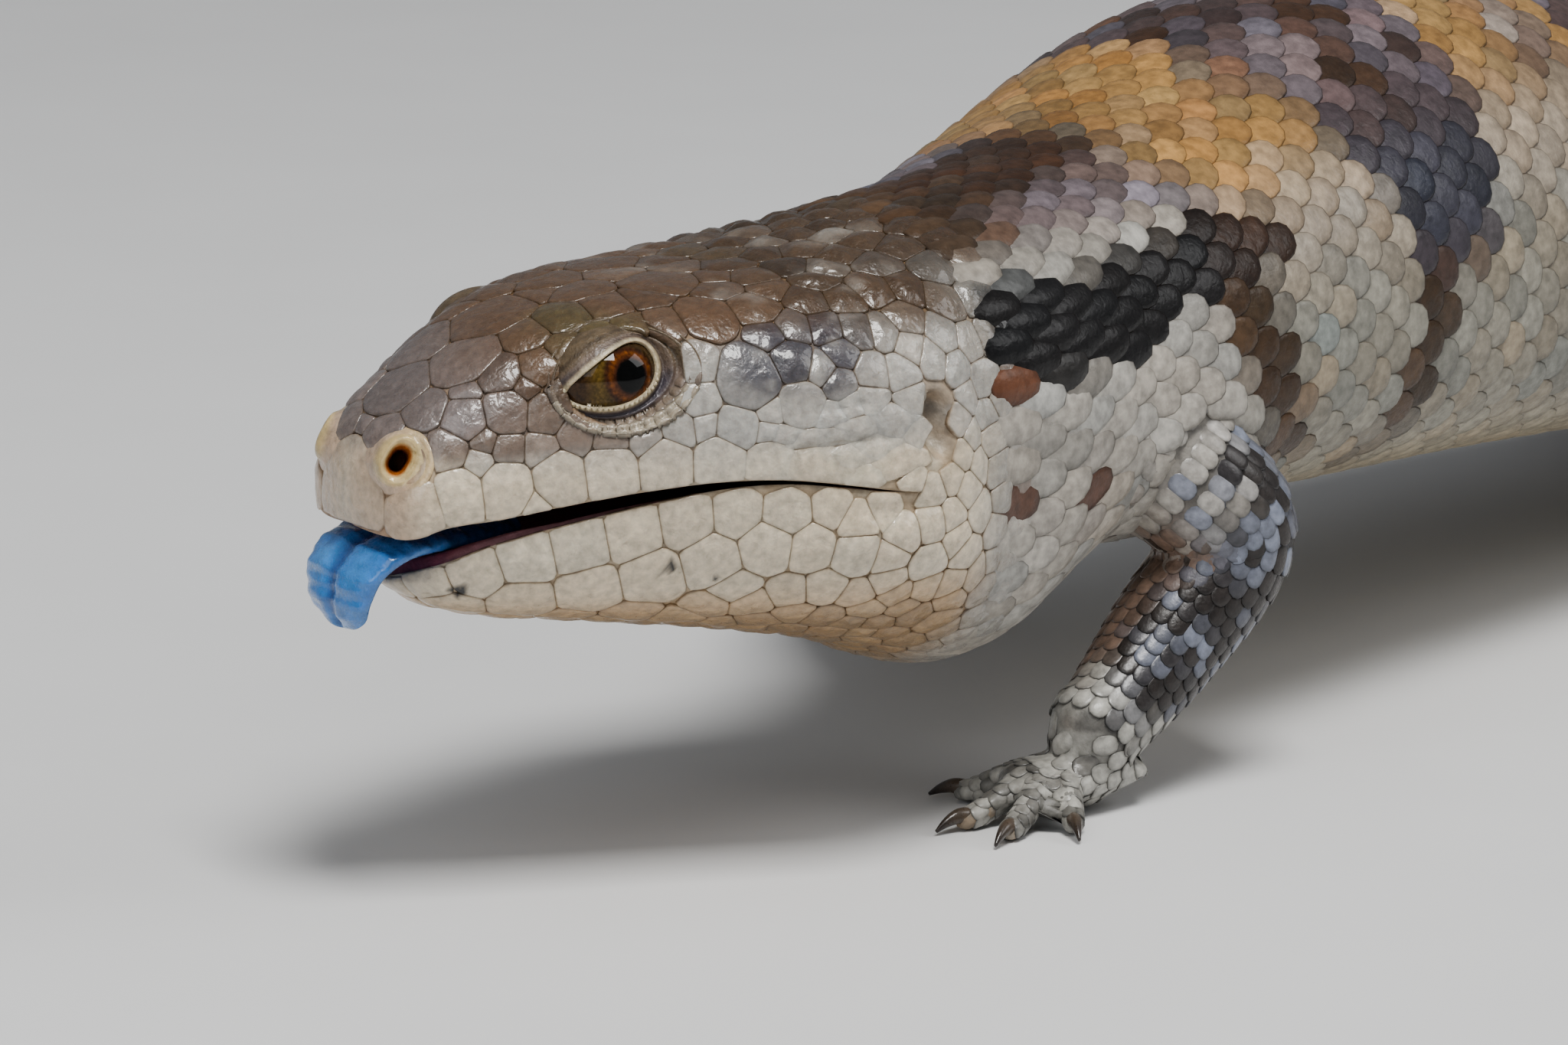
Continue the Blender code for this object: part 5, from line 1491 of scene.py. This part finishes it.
def make_nostrils():
    """The nasal shield round each nostril: a pale ring with a raised rim and a deep hole."""
    rows, fine = np.linspace(0, 1, len(NOSTRIL_PROFILE)), np.linspace(0, 1, 57)
    reach, high = read_line(fine, rows, np.array(NOSTRIL_PROFILE)).T
    b = np.linspace(0, 2 * math.pi, 97)
    shape = 1 + 0.20 * np.cos(2 * (b - 0.9)) * (1 - smooth(reach[:, None], 1.6, 3.0))
    x, z = reach[:, None] * shape * np.cos(b), reach[:, None] * shape * np.sin(b)
    for sign, name in SIDES:
        centre, axis, back, up = nostril_frame(sign)
        flat = centre + x[..., None] * back + z[..., None] * up
        skin_at, _ = project(UPPER_TREE, flat, axis, 8.0)
        base = (skin_at - centre) @ axis
        share = smooth(reach, 1.4, 3.2)[:, None]
        level = base * share + base[:1].mean() * (1 - share)
        table = flat + (level + 0.30 + 0.85 * high[:, None])[..., None] * axis
        tint = mix(NOSTRIL_RED, NOSE_YELLOW, smooth(high + 0.5 * (reach - 1.2), -0.7, 0.1))
        # Near black towards the bottom of the hole: painted shade.
        tint = mix(tint, (0.06, 0.010, 0.006), smooth(-high, 0.9, 2.2) * (reach < 1.6))
        outer = smooth(reach, 2.1, 2.6)[:, None] * (1 - 0.6 * smooth(np.cos(b), -0.2, 0.7))
        tint = mix(tint[:, None], NOSTRIL_BORDER, outer) * (0.85 + 0.3 * noise(table, 1.5, 61))[..., None]
        lofted(f"nostril_{name}", table, tint, SHIELD_MATERIAL)


def scale_plates(tree, points, normals, ways, length, width, lift, slope, dome):
    """Rounded scales lying on a surface, pointing along their ways and rising towards their free ends."""
    ex, ey = round_ways(SCALE_SIDES, 0.8)
    across = unit(np.cross(normals, ways))
    rings = []
    for share, drop in SCALE_RINGS:
        x = (ex * share)[None] * length[:, None]
        y = (ey * share)[None] * width[:, None] * 0.5
        target = points[:, None] + x[..., None] * ways[:, None] + y[..., None] * across[:, None]
        facing = np.broadcast_to(normals[:, None], target.shape)
        found, _ = project(tree, target, facing, 2.5)
        high = lift + slope * x + dome * (1 - 0.6 * (ex * share) ** 2 - (ey * share) ** 2) + drop * 0.6
        rings.append(found + facing * high[..., None])
    rings = np.array(rings).transpose(1, 0, 2, 3)
    return rings, points + normals * (lift + dome), points - normals * 0.35


def limb_scales(tree):
    """Rings of small scales round each limb, the back of each foot and each toe."""
    rng = np.random.default_rng(19)
    for strip, name in enumerate(LIMBS):
        _, palm, half, toes, _ = foot_lines(name)
        middle = read_line(np.linspace(0, 1, 41), np.linspace(0, 1, len(palm)), palm)
        # Each tube's line and radii, the scales' pitch along and across it, the shares of the line where
        # they begin and end, and how many radii out the skin may lie.
        tubes = [(*limb_line(name, 241), 1.85, 2.05, 0.16, 0.985, 1.35),
                 (middle, np.full(41, half * 0.8), 1.7, 1.9, 0.05, 1.0, 1.6)]
        tubes += [(toe, radii, 1.25, 1.7, 0.22, 0.97, 1.8) for toe, radii in toes]
        found, facing, ways, wide, long, shares = [], [], [], [], [], []
        for number, (axis, radius, pitch, across, first, last, most) in enumerate(tubes):
            run = run_length(axis)
            for ring, stop in enumerate(np.arange(first * run[-1], last * run[-1], pitch)):
                at, ahead, behind = (read_line(stop + gap, run, axis) for gap in (0, 0.8, -0.8))
                way = unit(ahead - behind)
                r = float(np.interp(stop, run, radius))
                count = max(5, round(2 * math.pi * r / across))
                side = unit(np.cross(way, UP))
                over = np.cross(side, way)
                for k in range(count):
                    turn = 2 * math.pi * (k + 0.5 * (ring % 2)) / count
                    out = side * math.cos(turn) + over * math.sin(turn)
                    start = at + out * (r * most + 2.0)
                    hit, normal, _, _ = tree.ray_cast(Vector(start), Vector(-out), r * most + 2.0)
                    if hit is None or np.linalg.norm(np.array(hit) - at) > r * most or hit[2] < 0.5:
                        continue
                    normal = np.array(normal)
                    normal = unit(normal * (1 if normal @ out > 0 else -1) * 0.7 + out * 0.3)
                    found.append(hit)
                    facing.append(normal)
                    ways.append(unit(way - normal * (way @ normal)))
                    wide.append((across if number == 1 else 2 * math.pi * r / count) * 1.12)
                    long.append(pitch * 0.86)
                    shares.append((number, stop / run[-1], turn / (2 * math.pi)))
        found, facing, ways = np.array(found), np.array(facing), np.array(ways)
        wide, long, shares = np.array(wide), np.array(long), np.array(shares)
        fit = np.minimum(1, long / 1.75)[:, None]
        rings, middles, feet = scale_plates(tree, found, facing, ways, long, wide, lift=0.16 * fit,
                                            slope=0.11, dome=0.10 * fit)
        _, share, outward = limb_place(found)
        base = limb_tint(found, outward, share)
        fleck = 0.6 * rng.uniform(0, 1, len(found)) + 0.4 * smooth(noise(found, 5, 71), 0.25, 0.75)
        outer = smooth(outward, -0.15, 0.3) * (1 - foot_share(share, found))
        flecked = mix(LEG_DARK, LEG_BLUE, smooth(fleck, 0.42, 0.72) * rng.uniform(0.35, 1.0, len(found)))
        base = mix(base, flecked, outer)
        toe_band = smooth(np.sin(shares[:, 1] * 17 + shares[:, 0]), 0.0, 0.8) * (shares[:, 0] >= 2)
        base = mix(base, np.asarray(TOE_GREY) * 0.35, toe_band * 0.7)
        ragged = share + 0.16 * rng.uniform(-0.5, 0.5, len(found))
        base = mix(base, skin_tint(found), (1 - smooth(ragged, 0.22, 0.33)) * 0.85)
        base = base * (1 + 0.08 * rng.normal(0, 1, len(found)))[:, None]
        roots = np.stack([0.02 + 0.10 * shares[:, 0] + 0.09 * shares[:, 1],
                          0.72 + 0.065 * strip + 0.055 * shares[:, 2]], axis=1)
        # Darker towards each scale's rim, where it sinks into the skin: painted shade.
        tints = plate_tints(base, (1.2, 1.1, 0.85, 0.5, 0.3), SCALE_SIDES)
        make_coat(f"limb_scales_{name}", rings, middles, feet, tints, roots, LIMB_MATERIAL)


def eye_material():
    """The tint of the iris and the white, with fine fibres, under a wet surface."""
    made, add, links, shader = fresh_material("eye_material")
    fibres = noise_node(add, links, 0.35, Detail=5)
    varied_tint(add, links, shader, fibres, 0.6, 1.3, 0.35, 0.65)
    raised = bump_node(add, links, fibres, 0.05, 0.1)
    links.new(raised.outputs["Normal"], shader.inputs["Normal"])
    set_inputs(shader, Roughness=0.35, Specular_IOR_Level=0.0, Coat_Weight=1.0, Coat_Roughness=0.015,
               Coat_IOR=1.38)
    return made


def make_eyes():
    """The eyeballs, longer than high, with the cornea standing out a little over the pupil and iris."""
    look = eye_material()
    a = np.linspace(0, math.pi, 97)[:, None, None]
    b = np.linspace(0, 2 * math.pi, 129)[None, :, None]
    size = EYE_RADIUS + CORNEA_RISE * (1 - smooth(np.degrees(a), 8, 44))
    for side, name in SIDES:
        centre, out, front, up = eye_frame(side)
        way = np.cos(a) * out + np.sin(a) * (np.cos(b) * (EYE_LENGTH / EYE_RADIUS) * front + np.sin(b) * up)
        table = centre + way * size
        off = table - centre
        x, y = off @ front, off @ up
        flat = np.hypot(x, y) + 10 * ((off @ out) < 0)  # the back counts as far from the pupil
        angle = np.arctan2(y, x)
        ray = noise(np.stack([np.cos(angle) * 9, np.sin(angle) * 9, flat * 0.8], axis=-1), 1.1, 21)
        iris = mix((0.11, 0.036, 0.010), (0.30, 0.105, 0.022),
                   smooth(ray, 0.35, 0.8) * smooth(flat, 1.9, 2.5))
        iris = mix(iris, (0.05, 0.017, 0.008), 1 - smooth(flat, PUPIL, PUPIL + 0.45))
        white = mix((0.045, 0.026, 0.010), (0.110, 0.070, 0.018), smooth(x, 0.5, 3.5))
        white = mix(white, (0.035, 0.015, 0.010), smooth(x, 3.0, 4.4) * 0.8)
        tint = mix(iris, white, smooth(flat, IRIS - 0.12, IRIS + 0.35))
        rim = np.exp(-((flat - IRIS - 0.05) / 0.22) ** 2)
        tint = mix(tint, (0.03, 0.012, 0.008), rim * 0.85)
        tint = mix(tint, (0.002, 0.002, 0.002), 1 - smooth(flat, PUPIL - 0.12, PUPIL + 0.08))
        made = lofted(f"eyeball_{name}", table, tint, look)
        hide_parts(f"eye_{name}")


def make_tongue():
    """The tongue out over the lower lip, with its tip curled down, and a shallow groove on top."""
    middles, half, thick = zip(*TONGUE)
    at, share = np.linspace(0, 1, len(TONGUE)), np.linspace(0, 1, 130)
    s, z = smooth_line(at, middles, share).T
    wide, deep = curve(list(zip(at, half)))(share), curve(list(zip(at, thick)))(share)
    line = place(s, 0, z)
    line = np.concatenate([line[:1] - unit(line[1] - line[0]) * deep[0], line,
                           line[-1:] + unit(line[-1] - line[-2]) * 0.05])
    closing = np.sqrt(1 - 0.97 * np.clip((share - 0.9) / 0.1, 0, 1) ** 2)
    wide = np.concatenate([[0.01], wide * closing, [0.01]])[:, None]
    deep = np.concatenate([[0.01], deep * closing ** 0.6, [0.01]])[:, None]
    _, left = level_ways(math.radians(float(heading(0))))
    over = unit(np.cross(left, unit(np.gradient(line, axis=0))))
    over *= np.sign(over[len(over) // 2, 2])
    a = np.linspace(0, 2 * math.pi, 97)
    lift = np.sign(np.sin(a)) * np.abs(np.sin(a)) ** 0.8
    run = run_length(line)[:, None]
    waves = 0.10 * np.sin(run * 2.3 + 1.2 * np.cos(3 * a)) + 0.05 * np.sin(run * 5.1 + 2)
    groove = 0.55 * np.exp(-(np.cos(a) / 0.16) ** 2) * (np.sin(a) > 0)
    high = deep * lift + (waves * (deep > 0.2) - groove * np.minimum(deep, 1)) * (lift > 0)
    table = line[:, None] + left * (wide * np.cos(a))[..., None] + over[:, None] * high[..., None]
    tint = mix((0.040, 0.165, 0.47), (0.085, 0.275, 0.60), noise(table, 3.0, 31))
    # Darker along the groove on top and on the underside: painted shade.
    tint = mix(tint, (0.022, 0.065, 0.22), np.exp(-(np.cos(a) / 0.13) ** 2) * (np.sin(a) > 0) * 0.8)
    tint = mix(tint, (0.03, 0.10, 0.32), smooth(-lift, 0.1, 0.9) * 0.6)
    look = tinted_material("tongue_material", rough=(0.22, 0.36), bump=0.35, grain=0.45, fleck=0.12, coat=0.8,
                           coat_rough=0.06, subsurface=0.25)
    made = lofted("tongue_flesh", table, tint, look)
    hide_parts("tongue")


def make_claws():
    """Curved claws, brown at the root and near black at the point."""
    look = tinted_material("claw_material", rough=(0.25, 0.4), bump=0.1, grain=0.25, fleck=0.12, coat=0.4)
    share = np.linspace(0, 1, 22)
    size = CLAW_RADIUS * (1 - 0.82 * share ** 1.3)
    tint = smooth(np.concatenate([[0], share, [1]]), 0.2, 0.9)
    tint = mix((0.10, 0.075, 0.055), (0.030, 0.022, 0.018), tint)[:, None]
    for name in LIMBS:
        kind = name.replace("fore", "hand").replace("hind", "foot")
        for number, bends in enumerate(foot_lines(name)[-1]):
            line = smooth_line(np.linspace(0, 1, len(bends)), bends, share)
            table = tube_table(line, size, 24, 1.15)
            table = np.concatenate([np.broadcast_to(line[:1, None], (1,) + table.shape[1:]), table,
                                    np.broadcast_to(line[-1:, None], (1,) + table.shape[1:])])
            table[..., 2] = np.maximum(table[..., 2], CLAW_GAP)
            lofted(f"claw_{kind}_{number + 1}", table, np.broadcast_to(tint, table.shape), look)


def make_floor():
    """A wide plain floor in a pale grey that hardly varies."""
    made, add, links, shader = fresh_material("floor_material")
    shade = add("MapRange", To_Min=FLOOR_SHADES[0], To_Max=FLOOR_SHADES[1])
    links.new(noise_node(add, links, FLOOR_CLOUD).outputs["Fac"], shade.inputs["Value"])
    links.new(shade.outputs["Result"], shader.inputs["Base Color"])
    set_inputs(shader, Roughness=0.7)
    bpy.ops.mesh.primitive_plane_add(size=FLOOR_SIZE)
    floor = bpy.context.object
    floor.name = "studio_floor"
    floor.data.materials.append(made)


PHOTO_WIDTH, PHOTO_FOCUS = 2048, 9730  # width and focal length in the photo's pixels
EYE_PIXEL, PHOTO_MIDDLE = (824, 491), (1024, 682.5)
CAMERA_WAY, CAMERA_DIP, CAMERA_GAP = (-0.766, -0.643, 0), 13.0, 700.0  # level way, degrees down, distance
SENSOR = 36
LIT_SPOT = (0.1, 0, 0.04)  # metres: where all lamps point


def make_camera():
    """The camera sees the left eye's foremost point at its pixel in the photo."""
    dip = math.radians(CAMERA_DIP)
    ahead = (Vector(CAMERA_WAY).normalized() * math.cos(dip) - Vector(UP) * math.sin(dip)).normalized()
    right = ahead.cross(Vector(UP)).normalized()
    over = right.cross(ahead)
    centre, out, _, _ = eye_frame(1)
    apex = Vector(centre + out * EYE_RADIUS)
    scale = CAMERA_GAP / PHOTO_FOCUS
    spot = apex - ahead * CAMERA_GAP
    spot -= right * ((EYE_PIXEL[0] - PHOTO_MIDDLE[0]) * scale)
    spot -= over * ((PHOTO_MIDDLE[1] - EYE_PIXEL[1]) * scale)
    data = bpy.data.cameras.new("camera")
    data.sensor_width = SENSOR
    data.lens = PHOTO_FOCUS * SENSOR / PHOTO_WIDTH
    data.clip_start, data.clip_end = 0.01, 50
    camera = linked("camera", data)
    camera.location = spot * MM
    camera.rotation_euler = ahead.to_track_quat("-Z", "Y").to_euler()
    bpy.context.scene.camera = camera


def make_light(name, where, size, power, tint=(1, 1, 1)):
    """A square lamp, its place and size in metres."""
    data = bpy.data.lights.new(name, "AREA")
    data.size, data.energy, data.color = size, power, tint
    lamp = linked(name, data)
    lamp.location = where
    lamp.rotation_euler = (Vector(LIT_SPOT) - Vector(where)).to_track_quat("-Z", "Y").to_euler()


def make_studio():
    """Soft lamps above, in front and to the side, a dim even sky, and the way the picture is developed."""
    make_light("key", (0.42, 0.42, 1.15), 0.45, 13, (1, 0.99, 0.97))
    make_light("fill", (1.3, 0.2, 0.75), 0.9, 3.8, (0.95, 0.98, 1))
    make_light("side", (-0.7, 1.0, 0.9), 0.7, 4.6)
    world = bpy.data.worlds.new("studio")
    world.use_nodes = True
    set_inputs(world.node_tree.nodes["Background"], Color=(0.92, 0.95, 1, 1), Strength=0.20)
    bpy.context.scene.world = world
    picture = bpy.context.scene.view_settings
    picture.view_transform, picture.look = "AgX", "AgX - Medium High Contrast"


skin_mesh = make_skin().data
skin_tree = BVHTree.FromPolygons(read_points(skin_mesh).tolist(),
                                 [tuple(face.vertices) for face in skin_mesh.polygons])
trunk_scales(trunk_sheet())
head_shields()
make_lids()
make_nostrils()
limb_scales(skin_tree)
make_eyes()
make_tongue()
make_claws()
make_floor()
make_camera()
make_studio()
